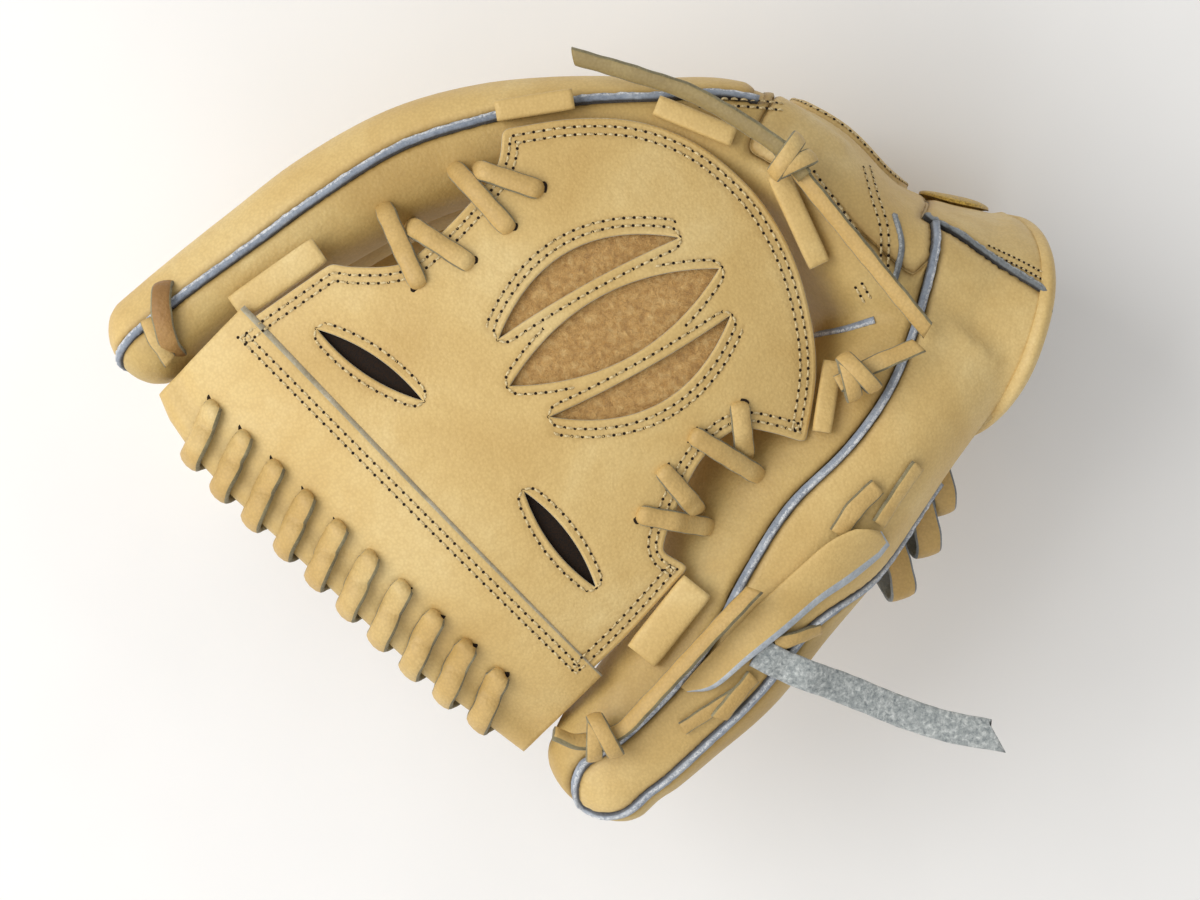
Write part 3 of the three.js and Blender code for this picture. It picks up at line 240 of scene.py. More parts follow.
HAND_LOFT = Loft(HAND)
THUMB_LOFT = Loft(THUMB)
FINGERS = {"index": Loft(INDEX), "middle": Loft(MIDDLE), "ring": Loft(RING), "little": Loft(LITTLE)}


def wrist_push(degrees):
    return -WRIST_BULGE * np.maximum(0, np.sin(np.radians(degrees)))


# Meshes under construction: points in millimetres, faces, and a material number for each face.
class Mesh:
    def __init__(self):
        self.points = []
        self.faces = []
        self.kinds = []
        # Per point: a darkening that is partly patina and partly painted shade; on raw edges, a painted
        # shadow over 0 and a painted highlight under 0.
        self.patina_and_painted_lights = []

    def add(self, points, faces, kind=0, patina_and_painted_light=0.0):
        start = len(self.points)
        self.points.extend(np.asarray(points, float).reshape(-1, 3).tolist())
        self.faces.extend(tuple(start + i for i in face) for face in faces)
        self.kinds.extend([kind] * len(faces) if np.isscalar(kind) else list(kind))
        fresh = len(self.points) - start
        self.patina_and_painted_lights.extend([patina_and_painted_light] * fresh if np.isscalar(patina_and_painted_light) else list(patina_and_painted_light))

    def grid(self, points, kind=0, around=False, along=False, caps=None, patina_and_painted_light=0.0):
        """A sheet of quads through an array [i, j, xyz]. kind is one number, or one for each j."""
        points = np.asarray(points, float)
        m, n = points.shape[:2]
        faces, kinds = [], []
        for i in range(m if along else m - 1):
            for j in range(n if around else n - 1):
                k, l = (i + 1) % m, (j + 1) % n
                faces.append((i * n + j, i * n + l, k * n + l, k * n + j))
                kinds.append(kind if np.isscalar(kind) else kind[j])
        if caps is not None:
            faces += [tuple(reversed(range(n))), tuple(range((m - 1) * n, m * n))]
            kinds += [caps, caps]
        self.add(points, faces, kinds, patina_and_painted_light)


def make_piece(name, mesh, materials, nodes=()):
    """A Blender object of a finished mesh, with one of MATERIALS for each kind of face.
    It rides on the glove and stands for the named CAD nodes."""
    data = bpy.data.meshes.new(name)
    points = (np.array(mesh.points) + SHIFT) * MM
    data.from_pydata(points.tolist(), [], mesh.faces)
    for material in materials:
        data.materials.append(MATERIALS[material])
    data.polygons.foreach_set("material_index", mesh.kinds)
    data.polygons.foreach_set("use_smooth", [True] * len(data.polygons))
    # The per-point painted light and patina, read by the materials.
    patina_and_painted_light = data.attributes.new("patina_and_painted_light", "FLOAT", "POINT")
    patina_and_painted_light.data.foreach_set("value", [float(x) for x in mesh.patina_and_painted_lights])
    data.update()
    piece = bpy.data.objects.new(name, data)
    bpy.context.scene.collection.objects.link(piece)
    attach(piece, "root")
    if nodes:
        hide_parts(*nodes)
    return piece


def add_camera():
    data = bpy.data.cameras.new("camera")
    data.lens = CAMERA["lens"]
    data.sensor_width = CAMERA["sensor"]
    data.clip_end = 20
    camera = bpy.data.objects.new("camera", data)
    camera.location = ((SHIFT + [0, 0, CAMERA["height"]]) * MM).tolist()
    bpy.context.scene.collection.objects.link(camera)
    bpy.context.scene.camera = camera


DENSE = 24  # points worked out between two rows of a path, before they are evened


def resample(path, step, closed=False):
    """Evenly spaced points on a smooth curve through path."""
    path = np.asarray(path, float)
    if closed:
        wrapped = np.concatenate([path[-2:], path, path[:3]])
        return even(catmull(wrapped, np.linspace(2, 2 + len(path), DENSE * len(path))), step)[:-1]
    last = len(path) - 1
    return even(catmull(path, np.linspace(0, last, DENSE * last)), step)


def cornered_loop(path, step, corners):
    """Evenly spaced points on a closed curve that is smooth between corners. Its first point is a corner."""
    path = np.array(path + path[:1], float)
    runs = zip(corners, corners[1:] + [len(path) - 1])
    return np.concatenate([resample(path[a:b + 1], step)[:-1] for a, b in runs])


def even(dense, step):
    """Points at equal distances along a dense line, measured in its first three columns."""
    lengths = np.concatenate([[0], np.cumsum(np.linalg.norm(np.diff(dense[:, :3], axis=0), axis=1))])
    count = max(2, int(round(lengths[-1] / step)) + 1)
    at = np.linspace(0, lengths[-1], count)
    return np.stack([np.interp(at, lengths, column) for column in dense.T], 1)


def closed_even(loop, step):
    return even(np.concatenate([loop, loop[:1]]), step)[:-1]


# The uncut outer skin: every loft joined, softened where lofts meet.
def loft_rings(mesh, rings, start, end):
    m, n = rings.shape[:2]
    mesh.grid(rings, around=True)
    first = len(mesh.points) - m * n
    mesh.points.extend([start.tolist(), end.tolist()])
    mesh.patina_and_painted_lights.extend([0.0, 0.0])
    hub = len(mesh.points) - 2
    for j in range(n):
        k = (j + 1) % n
        mesh.faces.append((hub, first + k, first + j))
        mesh.faces.append((hub + 1, first + (m - 1) * n + j, first + (m - 1) * n + k))
        mesh.kinds.extend([0, 0])


def add_stall(mesh, loft, start, cap=12.0):
    degrees = np.arange(0, 360, 6)
    u = np.linspace(start, loft.last, int(14 * (loft.last - start)))
    body = loft.points(u, degrees)
    tip = loft.frames([loft.last])
    along, place = tip[1][0], tip[4][0]
    ends = []
    for bend in np.radians(np.linspace(8, 84, 12)):
        ring = loft.points([loft.last], degrees, scale=math.cos(bend))[0]
        ends.append(ring + along * cap * math.sin(bend))
    loft_rings(mesh, np.concatenate([body, ends]), loft.frames([start])[4][0], place + along * cap)


def union_skin():
    mesh = Mesh()
    degrees = np.arange(0, 360, 3)
    u = np.linspace(0, HAND_LOFT.last, 70)
    hand = HAND_LOFT.points(u, degrees)
    along = HAND_LOFT.frames(u)[1]
    push = wrist_push(degrees)[None, :] * np.maximum(0, 1 - u)[:, None]
    hand = hand + push[..., None] * along[:, None]
    loft_rings(mesh, hand, hand[0].mean(0), hand[-1].mean(0))
    add_stall(mesh, THUMB_LOFT, 2)
    for loft in FINGERS.values():
        add_stall(mesh, loft, 0.2)
    data = bpy.data.meshes.new("rough_skin")
    data.from_pydata(mesh.points, [], mesh.faces)
    rough = bpy.data.objects.new("rough_skin", data)
    bpy.context.scene.collection.objects.link(rough)
    remesh = rough.modifiers.new("remesh", "REMESH")
    remesh.mode = "VOXEL"
    remesh.voxel_size = SKIN_STEP
    remesh.adaptivity = 0
    result = rough.evaluated_get(bpy.context.evaluated_depsgraph_get()).to_mesh()
    points = np.zeros(len(result.vertices) * 3)
    result.vertices.foreach_get("co", points)
    points = points.reshape(-1, 3)
    quads = np.array([list(p.vertices) for p in result.polygons])
    bpy.data.objects.remove(rough)
    bpy.data.meshes.remove(data)
    return points, quads


def edges_of(faces, count):
    """Each edge of the faces once, lower end first, where points are numbered under count."""
    sides = faces.shape[1]
    pairs = np.concatenate([faces[:, [i, (i + 1) % sides]] for i in range(sides)]).astype(np.int64)
    codes = np.unique(pairs.min(1) * count + pairs.max(1))
    return np.stack([codes // count, codes % count], 1)


def neighbours(count, quads):
    edges = edges_of(quads, count)
    degree = np.bincount(edges.ravel(), minlength=count)
    return edges, degree


def gather(index, values, count):
    """Sums rows of values by index."""
    return np.stack([np.bincount(index, column, count) for column in values.T], 1)


def average(values, edges, degree):
    flat = values.reshape(len(values), -1)
    low, high = edges.T
    total = gather(low, flat[high], len(flat)) + gather(high, flat[low], len(flat))
    return (total / np.maximum(degree, 1)[:, None]).reshape(values.shape)


def vertex_normals(points, faces):
    a, b, c = (points[faces[:, i]] for i in range(3))
    face = np.cross(b - a, c - a)
    if faces.shape[1] == 4:
        face = face + np.cross(c - a, points[faces[:, 3]] - a)
    return unit(sum(gather(faces[:, i], face, len(points)) for i in range(faces.shape[1])))


def soften(points, quads):
    """Irons out the voxels, then fills sharp inner creases a little, as padding under leather does."""
    edges, degree = neighbours(len(points), quads)
    for factor in (0.5, -0.53) * 8:
        points = points + factor * (average(points, edges, degree) - points)
    for _ in range(14):
        normal = vertex_normals(points, quads)
        delta = average(points, edges, degree) - points
        valley = np.clip((delta * normal).sum(1) / 0.12, 0, 1)
        for _ in range(2):
            valley = average(valley, edges, degree)
        points = points + 0.6 * valley[:, None] * delta
    return points


def split(data, tris, column, level):
    """Splits triangles where a column of their data passes a level."""
    data = data.copy()
    values = data[:, column] - level
    crossed = tris[(values[tris].max(1) > 0) & (values[tris].min(1) < 0)]
    edges = edges_of(crossed, len(data))
    va, vb = values[edges[:, 0]], values[edges[:, 1]]
    crossing = va * vb < 0
    t = np.where(crossing, va / np.where(va == vb, 1, va - vb), 0.5)
    for near, other, share in ((0, 1, t), (1, 0, 1 - t)):
        close = crossing & (share < 0.14)
        a, b = edges[close, near], edges[close, other]
        moved = data[a] + (data[b] - data[a]) * share[close, None]
        data[a] = moved
        data[a, column] = level
        values[a] = 0
    sign = np.sign(values)
    mixed = (sign[tris].max(1) > 0) & (sign[tris].min(1) < 0)
    fresh_data, fresh_tris, made = [], [], {}
    count = len(data)

    def between(i, j):
        key = (min(i, j), max(i, j))
        if key not in made:
            share = values[key[0]] / (values[key[0]] - values[key[1]])
            made[key] = count + len(fresh_data)
            fresh_data.append(data[key[0]] + (data[key[1]] - data[key[0]]) * share)
        return made[key]

    for tri in tris[mixed]:
        signs = [int(sign[i]) for i in tri]
        if 0 in signs:
            k = signs.index(0)
            a, b, c = (int(tri[(k + i) % 3]) for i in range(3))
            m = between(b, c)
            fresh_tris += [(a, b, m), (a, m, c)]
            continue
        lone = 1 if sum(signs) < 0 else -1
        k = signs.index(lone)
        a, b, c = (int(tri[(k + i) % 3]) for i in range(3))
        p, q = between(a, b), between(c, a)
        fresh_tris += [(a, p, q), (p, b, c), (p, c, q)]
    if fresh_data:
        data = np.concatenate([data, fresh_data])
        tris = np.concatenate([tris[~mixed], fresh_tris])
    return data, tris


EDGE, FIELDS = 3, 4
ROLL_STEPS = (0.7, 1.6, 3.0)  # rows of triangles beside a cut, which turn in with it


class Skin:
    """Triangles of leather. data has x, y, z, the distance to the nearest edge, and a column for each cut."""

    def __init__(self, data, tris):
        self.data = data
        self.tris = tris

    def part(self, column, slot):
        """Takes out where a column is under -slot, keeps where it is over slot, and drops the rest."""
        data, tris = self.data, self.tris
        above = [slot + step for step in ROLL_STEPS]
        for level in above[::-1] + [slot, -slot] + [-level for level in above]:
            data, tris = split(data, tris, column, level)
        values = data[:, column]
        middle = values[tris].mean(1)
        inside, outside = tris[middle < -slot], tris[middle > slot]
        taken = Skin(data.copy(), inside).tidy()
        depth = -slot - taken.data[:, column]
        taken.data[:, EDGE] = np.minimum(taken.data[:, EDGE], np.maximum(depth, 0))
        data = data.copy()
        data[:, EDGE] = np.minimum(data[:, EDGE], np.maximum(np.where(values > 0, values - slot, FOREVER), 0))
        kept = Skin(data, outside).tidy()
        self.data, self.tris = kept.data, kept.tris
        return taken

    def tidy(self):
        """Keeps the largest connected sheet and the vertices that it uses."""
        labels = np.arange(len(self.data))
        edges = np.concatenate([self.tris[:, [0, 1]], self.tris[:, [1, 2]]])
        while True:
            low = np.minimum(labels[edges[:, 0]], labels[edges[:, 1]])
            fresh = labels.copy()
            np.minimum.at(fresh, edges[:, 0], low)
            np.minimum.at(fresh, edges[:, 1], low)
            fresh = fresh[fresh]
            if (fresh == labels).all():
                break
            labels = fresh
        group = labels[self.tris[:, 0]]
        names, sizes = np.unique(group, return_counts=True)
        kept = self.tris[group == names[sizes.argmax()]]
        used, order = np.unique(kept, return_inverse=True)
        return Skin(self.data[used], order.reshape(-1, 3))


def walled(skin):
    """A closed sheet of leather that turns in and thins out towards its edges, and darkens in colour where it
    turns in: partly patina, partly painted shade.
    """
    share = np.clip(1 - skin.data[:, EDGE] / TURN_IN["reach"], 0, 1)
    outer = skin.data[:, :3]
    outer = outer - vertex_normals(outer, skin.tris) * (TURN_IN["depth"] * share ** 2.4)[:, None]
    outer[:, 2] = np.maximum(outer[:, 2], 0)
    thick = SKIN_EDGE + (SKIN_WALL - SKIN_EDGE) * smooth_step(skin.data[:, EDGE] / 5)
    inner = outer - vertex_normals(outer, skin.tris) * thick[:, None]
    inner[:, 2] = np.maximum(inner[:, 2], SOLE)
    return closed_sheet(outer, inner, skin.tris, share ** 2)


def closed_sheet(outer, inner, tris, patina_and_painted_light):
    """A closed mesh of an outer face, an inner face and the edges between them: kinds 0, 1 and 2."""
    count = len(outer)
    mesh = Mesh()
    mesh.add(outer, [tuple(t) for t in tris.tolist()], 0, patina_and_painted_light)
    # The inner face is darker in colour: painted shade inside the glove.
    mesh.add(inner, [], 0, 0.6)
    mesh.faces.extend((count + c, count + b, count + a) for a, b, c in tris.tolist())
    mesh.kinds.extend([1] * len(tris))
    directed = np.concatenate([tris[:, [0, 1]], tris[:, [1, 2]], tris[:, [2, 0]]])
    codes = directed[:, 0] * (count + 1) + directed[:, 1]
    reverse = directed[:, 1] * (count + 1) + directed[:, 0]
    rim = directed[~np.isin(codes, reverse)]
    mesh.faces.extend((b, a, count + a, count + b) for a, b in rim.tolist())
    mesh.kinds.extend([2] * len(rim))
    return mesh


# Materials.
def srgb(text):
    """A linear colour from a six-digit sRGB code."""
    values = [int(text[i:i + 2], 16) / 255 for i in (0, 2, 4)]
    return [v / 12.92 if v <= 0.04045 else ((v + 0.055) / 1.055) ** 2.4 for v in values] + [1.0]


class Nodes:
    """A material's node tree with short names for the nodes used here."""

    def __init__(self, name):
        self.material = bpy.data.materials.new(name)
        self.material.use_nodes = True
        self.tree = self.material.node_tree
        self.shader = self.tree.nodes["Principled BSDF"]
        self.place = self.add("ShaderNodeTexCoord").outputs["Object"]

    def add(self, kind):
        return self.tree.nodes.new(kind)

    def link(self, source, target):
        self.tree.links.new(source, target)

    def noise(self, scale, detail=4, roughness=0.55, distortion=0.0):
        node = self.add("ShaderNodeTexNoise")
        settings = {"Scale": scale, "Detail": detail, "Roughness": roughness, "Distortion": distortion}
        for name, value in settings.items():
            node.inputs[name].default_value = value
        self.link(self.place, node.inputs["Vector"])
        return node.outputs["Fac"]

    def cells(self, scale, smooth=False):
        node = self.add("ShaderNodeTexVoronoi")
        node.feature = "SMOOTH_F1" if smooth else "F1"
        node.inputs["Scale"].default_value = scale
        self.link(self.place, node.inputs["Vector"])
        return node.outputs["Distance"]

    def ramp(self, value, stops):
        node = self.add("ShaderNodeValToRGB")
        ramp = node.color_ramp
        while len(ramp.elements) < len(stops):
            ramp.elements.new(0.5)
        for element, (at, colour) in zip(ramp.elements, stops):
            element.position = at
            element.color = srgb(colour)
        self.link(value, node.inputs["Fac"])
        return node.outputs["Color"]

    def fill(self, sockets, values):
        for value, socket in zip(values, sockets):
            if isinstance(value, (int, float, list)):
                socket.default_value = value
            else:
                self.link(value, socket)

    def mix(self, factor, a, b):
        node = self.add("ShaderNodeMix")
        node.data_type = "RGBA"
        node.clamp_result = True
        self.fill((node.inputs[0], node.inputs[6], node.inputs[7]), (factor, a, b))
        return node.outputs[2]

    def math(self, operation, a, b):
        node = self.add("ShaderNodeMath")
        node.operation = operation
        self.fill(node.inputs, (a, b))
        return node.outputs[0]

    def spread(self, value, low, high):
        """Maps 0.3 to 0.7 onto low to high, as noise hardly leaves that range."""
        node = self.add("ShaderNodeMapRange")
        for name, number in {"From Min": 0.3, "From Max": 0.7, "To Min": low, "To Max": high}.items():
            node.inputs[name].default_value = number
        self.link(value, node.inputs["Value"])
        return node.outputs["Result"]

    def patina_and_painted_light(self):
        node = self.add("ShaderNodeAttribute")
        node.attribute_name = "patina_and_painted_light"
        return node.outputs["Fac"]

    def finish(self, colour, roughness, height, bump, distance, **sockets):
        self.link(colour, self.shader.inputs["Base Color"])
        self.link(roughness, self.shader.inputs["Roughness"])
        node = self.add("ShaderNodeBump")
        node.inputs["Strength"].default_value = bump
        node.inputs["Distance"].default_value = distance
        self.link(height, node.inputs["Height"])
        self.link(node.outputs["Normal"], self.shader.inputs["Normal"])
        for name, value in sockets.items():
            self.shader.inputs[name.replace("_", " ")].default_value = value
        return self.material


def leather_material(name, shades, patina_and_shade_colour, grain=0.35):
    """Smooth, finely pebbled leather. shades run from dark to light. Where the mesh's per-point mark is set,
    it darkens: partly patina, partly painted shade.
    """
    n = Nodes(name)
    broad = n.noise(26, 3, 0.5, 0.6)
    colour = n.ramp(broad, [(0.3, shades[0]), (0.52, shades[1]), (0.72, shades[2])])
    mottle = n.noise(170, 5, 0.6, 0.3)
    colour = n.mix(n.spread(mottle, 0.0, 0.4), colour, srgb(shades[0]))
    pores = n.cells(1100)
    colour = n.mix(n.spread(pores, 0.0, 0.12), colour, srgb(patina_and_shade_colour))
    # Painted shade and patina: darker where the mesh marks it.
    colour = n.mix(n.math("MULTIPLY", n.patina_and_painted_light(), 0.62), colour, srgb(patina_and_shade_colour))
    creases = n.noise(95, 6, 0.62, 1.4)
    pebble = n.cells(1050, smooth=True)
    fine = n.noise(2600, 3, 0.6)
    waves = n.noise(21, 2, 0.45, 0.5)
    height = n.math("ADD", creases, n.math("MULTIPLY", pebble, 0.42))
    height = n.math("ADD", height, n.math("MULTIPLY", fine, 0.22))
    height = n.math("ADD", height, n.math("MULTIPLY", waves, 2.2))
    roughness = n.spread(n.noise(60, 4, 0.6), 0.44, 0.6)
    return n.finish(colour, roughness, height, grain, 0.0007, Specular_IOR_Level=0.42)


def fuzzy_material(name, shades, coarse, bump=0.7, distance=0.0009, line=None, fibres_and_highlight=None, patch=0.12):
    """Raw or suede leather: short tangled fibres. Where the per-point mark is over 0 the colour goes to line,
    a painted shadow; where it is under 0, to a speckled white: white fibres and a painted highlight.
    """
    n = Nodes(name)
    patches = n.noise(coarse * patch, 4, 0.6, 0.5)
    colour = n.ramp(patches, [(0.32, shades[0]), (0.5, shades[1]), (0.68, shades[2])])
    fibres = n.noise(coarse * 2.2, 6, 0.75, 1.2)
    colour = n.mix(n.spread(fibres, 0.0, 0.7), colour, srgb(shades[2]))
    pits = n.noise(coarse, 5, 0.7, 0.8)
    colour = n.mix(n.spread(pits, 0.55, 0.0), colour, srgb(shades[0]))
    if line:
        colour = n.mix(n.patina_and_painted_light(), colour, srgb(line))
    if fibres_and_highlight:
        speckle = n.spread(n.noise(coarse * 1.6, 5, 0.8, 0.6), -1.6, 0.6)
        colour = n.mix(n.math("MULTIPLY", n.math("MINIMUM", n.patina_and_painted_light(), 0.0), speckle), colour, srgb(fibres_and_highlight))
    height = n.math("ADD", n.math("MULTIPLY", pits, 0.9), n.math("MULTIPLY", fibres, 0.6))
    roughness = n.spread(fibres, 0.82, 0.97)
    return n.finish(colour, roughness, height, bump, distance, Sheen_Weight=0.25, Specular_IOR_Level=0.2)


def thread_material(name, dark, light, roughness=(0.5, 0.7)):
    n = Nodes(name)
    twist = n.noise(1800, 3, 0.6, 0.5)
    colour = n.ramp(twist, [(0.35, dark), (0.62, light)])
    return n.finish(colour, n.spread(twist, *roughness), twist, 0.5, 0.0003, Specular_IOR_Level=0.3)


def floor_material():
    n = Nodes("floor_paper")
    grain = n.noise(9, 3, 0.5)
    colour = n.ramp(grain, [(0.3, "f6f5f3"), (0.7, "fbfaf8")])
    return n.finish(colour, n.spread(grain, 0.8, 0.9), grain, 0.02, 0.0005, Specular_IOR_Level=0.1)


MATERIALS = {
    "leather": leather_material("tan_leather", ("cdab69", "dabb7a", "e4ca8e"), "8c6730"),
    "lining": leather_material("lining_leather", ("9c7c48", "b08e57", "c0a06b"), "6a4e2a", 0.5),
    # A darker copy of the tan leather: painted shade on the palm side.
    "palm": leather_material("palm_leather", ("b89757", "c8a968", "d2b87a"), "7f5c2a"),
    "lace": leather_material("lace_leather", ("c09d5d", "d2b06f", "dfc487"), "6b5228", 0.5),
    "tail": leather_material("tail_leather", ("85724a", "9c8858", "b39f6b"), "5c4c2c", 0.5),
    "lace_edge": fuzzy_material("lace_edge", ("5d543b", "877b58", "b0a67f"), 700),
    # The dark line colours are a painted shadow; the pale ones are white fibres with a painted highlight.
    "raw_edge": fuzzy_material("raw_edge", ("6a7484", "929cac", "c3cad2"), 620, line="38332e", fibres_and_highlight="f4f5f4"),
    "dark_edge": fuzzy_material("dark_edge", ("55595c", "7c8184", "a3a8a9"), 620, line="2e2a26",
                                fibres_and_highlight="c9cccb"),
    "cut_edge": fuzzy_material("cut_edge", ("998d6f", "bcb294", "e0d8c2"), 800, 0.5),
    "pale_edge": fuzzy_material("pale_edge", ("8d969f", "b4bcc4", "dde1e3"), 700, 0.5),
    "tongue": fuzzy_material("tongue_flesh", ("5c676b", "a4aaa9", "eceeea"), 620, 0.8, 0.0007, patch=1.1),
    "suede": fuzzy_material("suede", ("9c6c34", "cf9c55", "f0ca88"), 520, 1.0, 0.001, patch=0.8),
    "tip_lace": leather_material("tip_lace_leather", ("8a6436", "a67c46", "bd9458"), "5a4226", 0.6),
    "thread": thread_material("stitch_thread", "a88c58", "e6d2a2"),
    # Near-black: painted shade in stitch holes, lace holes and under the slits.
    "hole": thread_material("painted_hole_shade", "120b06", "2a1b0f", (0.8, 0.95)),
    "gold": thread_material("gold_thread", "8f6a1e", "dcb852", (0.3, 0.5)),
}
SKIN_MATERIALS = ["leather", "lining", "cut_edge"]
PALM_SHADED_MATERIALS = ["palm", "lining", "cut_edge"]
LACE_MATERIALS = ["lace", "lace_edge"]

add_camera()
points, quads = union_skin()
points = soften(points, quads)
points[:, 2] = np.maximum(points[:, 2], 0)
whole_tris = np.concatenate([quads[:, [0, 1, 2]], quads[:, [0, 2, 3]]])
SKIN_TREE = BVHTree.FromPolygons(points.tolist(), whole_tris.tolist())


def skin_ray(origin, direction, reach=400.0):
    """Where a ray meets the outer skin, and the skin's normal there."""
    hit, normal, _, _ = SKIN_TREE.ray_cast(Vector(origin), Vector(direction), reach)
    if hit is None:
        return None, None
    return np.array(hit), np.array(normal)


def skin_height(x, y):
    hit, _ = skin_ray((x, y, 300.0), (0, 0, -1))
    return hit[2] if hit is not None else 0.0


# The glove's leather pieces, parted along the same seams as the solids.
STRAP_UPPER = 66.0  # the strap's upper seam is over this height
STRAP_SEAM = [
    [74, 100], [86.5, 83.1], [92.1, 75.5], [99.7, 70.9], [108.6, 66.5], [119.4, 58.9], [137.4, 47.3],
    [165, 29],
]
THUMB_SEAM = [[96.2, 34], [97.3, 42.4], [100.5, 54.4], [102.5, 63.9], [102.5, 80]]


def hand_angle(points):
    """The section angle on the hand, in degrees, and the distance along the arm from the first row."""
    row, along, dorsal, side, place = HAND_LOFT.frames([0.0])
    arm = points - place[0]
    a, b = arm @ dorsal[0], arm @ side[0]
    half = ROUNDNESS / 2
    c = np.sign(a) * (np.abs(a) / np.where(a > 0, row[0, UP], row[0, DOWN])) ** half
    s = np.sign(b) * (np.abs(b) / np.where(b > 0, row[0, NEAR], row[0, FAR])) ** half
    return np.degrees(np.arctan2(s, c)), arm @ along[0]


def past_wrist(points):
    degrees, ahead = hand_angle(points)
    return ahead - wrist_push(degrees) - WRIST_CUT


OPENING_MIDDLE = ((OPENING["from"] + OPENING["to"]) / 2, (OPENING["near"] + OPENING["far"]) / 2)
OPENING_HALF = ((OPENING["to"] - OPENING["from"]) / 2, (OPENING["near"] - OPENING["far"]) / 2)
OPENING_POWER = 3


def opening_field(points):
    """Negative inside the opening in the back of the hand."""
    u, _, angle, _ = HAND_LOFT.locate(points)
    across = np.abs((u - OPENING_MIDDLE[0]) / OPENING_HALF[0])
    high = np.abs((points[:, 2] - OPENING_MIDDLE[1]) / OPENING_HALF[1])
    shape = (across ** OPENING_POWER + high ** OPENING_POWER) ** (1 / OPENING_POWER) - 1
    return np.where(np.abs(angle) < 1.6, shape * 24, 60)


def beside(points, line):
    """Distance in plan to the left of a line of points, negative to its right."""
    best = np.full(len(points), np.inf)
    signed = np.zeros(len(points))
    for a, b in zip(line[:-1], line[1:]):
        d = b - a
        arm = points[:, :2] - a
        t = np.clip(arm @ d / (d @ d), 0, 1)
        gap = np.linalg.norm(arm - t[:, None] * d, axis=1)
        nearer = gap < best
        best[nearer] = gap[nearer]
        signed[nearer] = (gap * np.sign(d[0] * arm[:, 1] - d[1] * arm[:, 0]))[nearer]
    return signed


def strap_field(points):
    """Negative on the strap. Its upper seam is a line in plan."""
    field = hand_wedge(points, None, None, STRAP_END)
    _, length, _, _ = HAND_LOFT.locate(points)
    upper = np.maximum(-beside(points, resample(STRAP_SEAM, 4)), length - HAND_LOFT.length_at(STRAP_END))
    return np.where(points[:, 2] > STRAP_UPPER, upper, field)


def thumb_field(points):
    """Negative on the thumb's back. Near the strap its seam is a line in plan."""
    drawn = smooth_step((points[:, 1] - 38) / 8) * smooth_step((points[:, 2] - 80) / 10)
    return THUMB_LOFT.wedge(points)[0] * (1 - drawn) + beside(points, resample(THUMB_SEAM, 3)) * drawn


def hand_wedge(points, seams, low, high):
    across, length, _ = HAND_LOFT.wedge(points, seams)
    ends = [across, length - HAND_LOFT.length_at(high)]
    if low is not None:
        ends.append(HAND_LOFT.length_at(low) - length)
    return np.max(ends, axis=0)


def stall_field(points, name):
    loft = FINGERS[name]
    low, high = LEVELS[name]
    across, length, radius = loft.wedge(points)
    bounds = [across, loft.length_at(1) - length, low - points[:, 2], points[:, 2] - high, radius - 34]
    return np.max(bounds, axis=0)


PALM_NODES = ["palm", "index_front", "middle_front", "ring_front", "little_front", "thumb_front"]


def calmed(values, edges, degree, passes=6):
    """A field evened over the skin, so that the cuts along it run smoothly."""
    for _ in range(passes):
        values = (values + average(values, edges, degree)) / 2
    return values


STRAP_CUT = []
BACKING = {"from": 1.5, "to": 2.4, "wide": 6.0, "clear": 5.0}


def add_backing(points, fields):
    """Leather under the seams, so that nothing shows through between two pieces."""
    near = np.abs(np.array(fields[2:])).min(0)
    kept = (near < BACKING["wide"]) & (fields[0] > BACKING["clear"]) & (fields[1] > BACKING["clear"])
    tris = whole_tris[kept[whole_tris].all(1)]
    normals = vertex_normals(points, whole_tris)
    used, order = np.unique(tris, return_inverse=True)
    outer = points[used] - normals[used] * BACKING["from"]
    inner = points[used] - normals[used] * BACKING["to"]
    inner[:, 2] = np.maximum(inner[:, 2], SOLE)
    outer[:, 2] = np.maximum(outer[:, 2], inner[:, 2])
    # Its faces are darker in colour: painted shade between the pieces.
    mesh = closed_sheet(outer, inner, order.reshape(-1, 3), 0.5)
    make_piece("seam_backing", mesh, ["leather", "lining", "lining"])


def leather_pieces():
    """Cuts the skin in the order of the list. What a cut takes out is a piece, or waste if it has no name."""
    cuts = [
        (None, past_wrist(points), 0.0),
        (None, opening_field(points), 0.0),
        ("wrist_strap", strap_field(points), GAP),
        ("thumb_back", thumb_field(points), WELT["slot"]),
        ("hand_back", hand_wedge(points, (90, -90), PANEL["from"], PANEL["to"]), GAP / 2),
    ]
    cuts += [(f"{name}_back", stall_field(points, name), WELT["slot"]) for name in FINGERS]
    links = neighbours(len(points), whole_tris)
    fields = [calmed(values, *links) for _, values, _ in cuts]
    add_backing(points, fields)
    edge = np.full(len(points), FOREVER)
    rest = Skin(np.column_stack([points, edge] + fields), whole_tris)
    for k, (name, _, slot) in enumerate(cuts):
        piece = rest.part(FIELDS + k, slot)
        if name == "wrist_strap":
            cut = np.abs(piece.data[:, FIELDS + k] + slot) < 1e-6
            STRAP_CUT.append(piece.data[cut, :3])
        if name:
            make_piece(f"{name}_leather", walled(piece), SKIN_MATERIALS, [name])
    make_piece("palm_leather", walled(rest), PALM_SHADED_MATERIALS, PALM_NODES)


leather_pieces()


# Strips of leather: laces, tails and welts.
STRIP_KINDS = [0] * 4 + [1] * 8


def mirrored(half):
    """A strip's section from its right half, which runs from the top's middle to the bottom's."""
    left = [(-a, b) for a, b in half[1:-1]]
    return left[1::-1] + half + left[:1:-1]


STRIP_PROFILE = mirrored([(0, 1.13), (0.5, 1), (0.86, 0.66), (1, 0.28), (1, -0.4), (0.9, -0.92), (0, -1)])
ROUND_PROFILE = mirrored([(0, 1.28), (0.55, 1.05), (0.9, 0.52), (1, 0), (1, -0.5), (0.86, -0.94), (0, -1)])


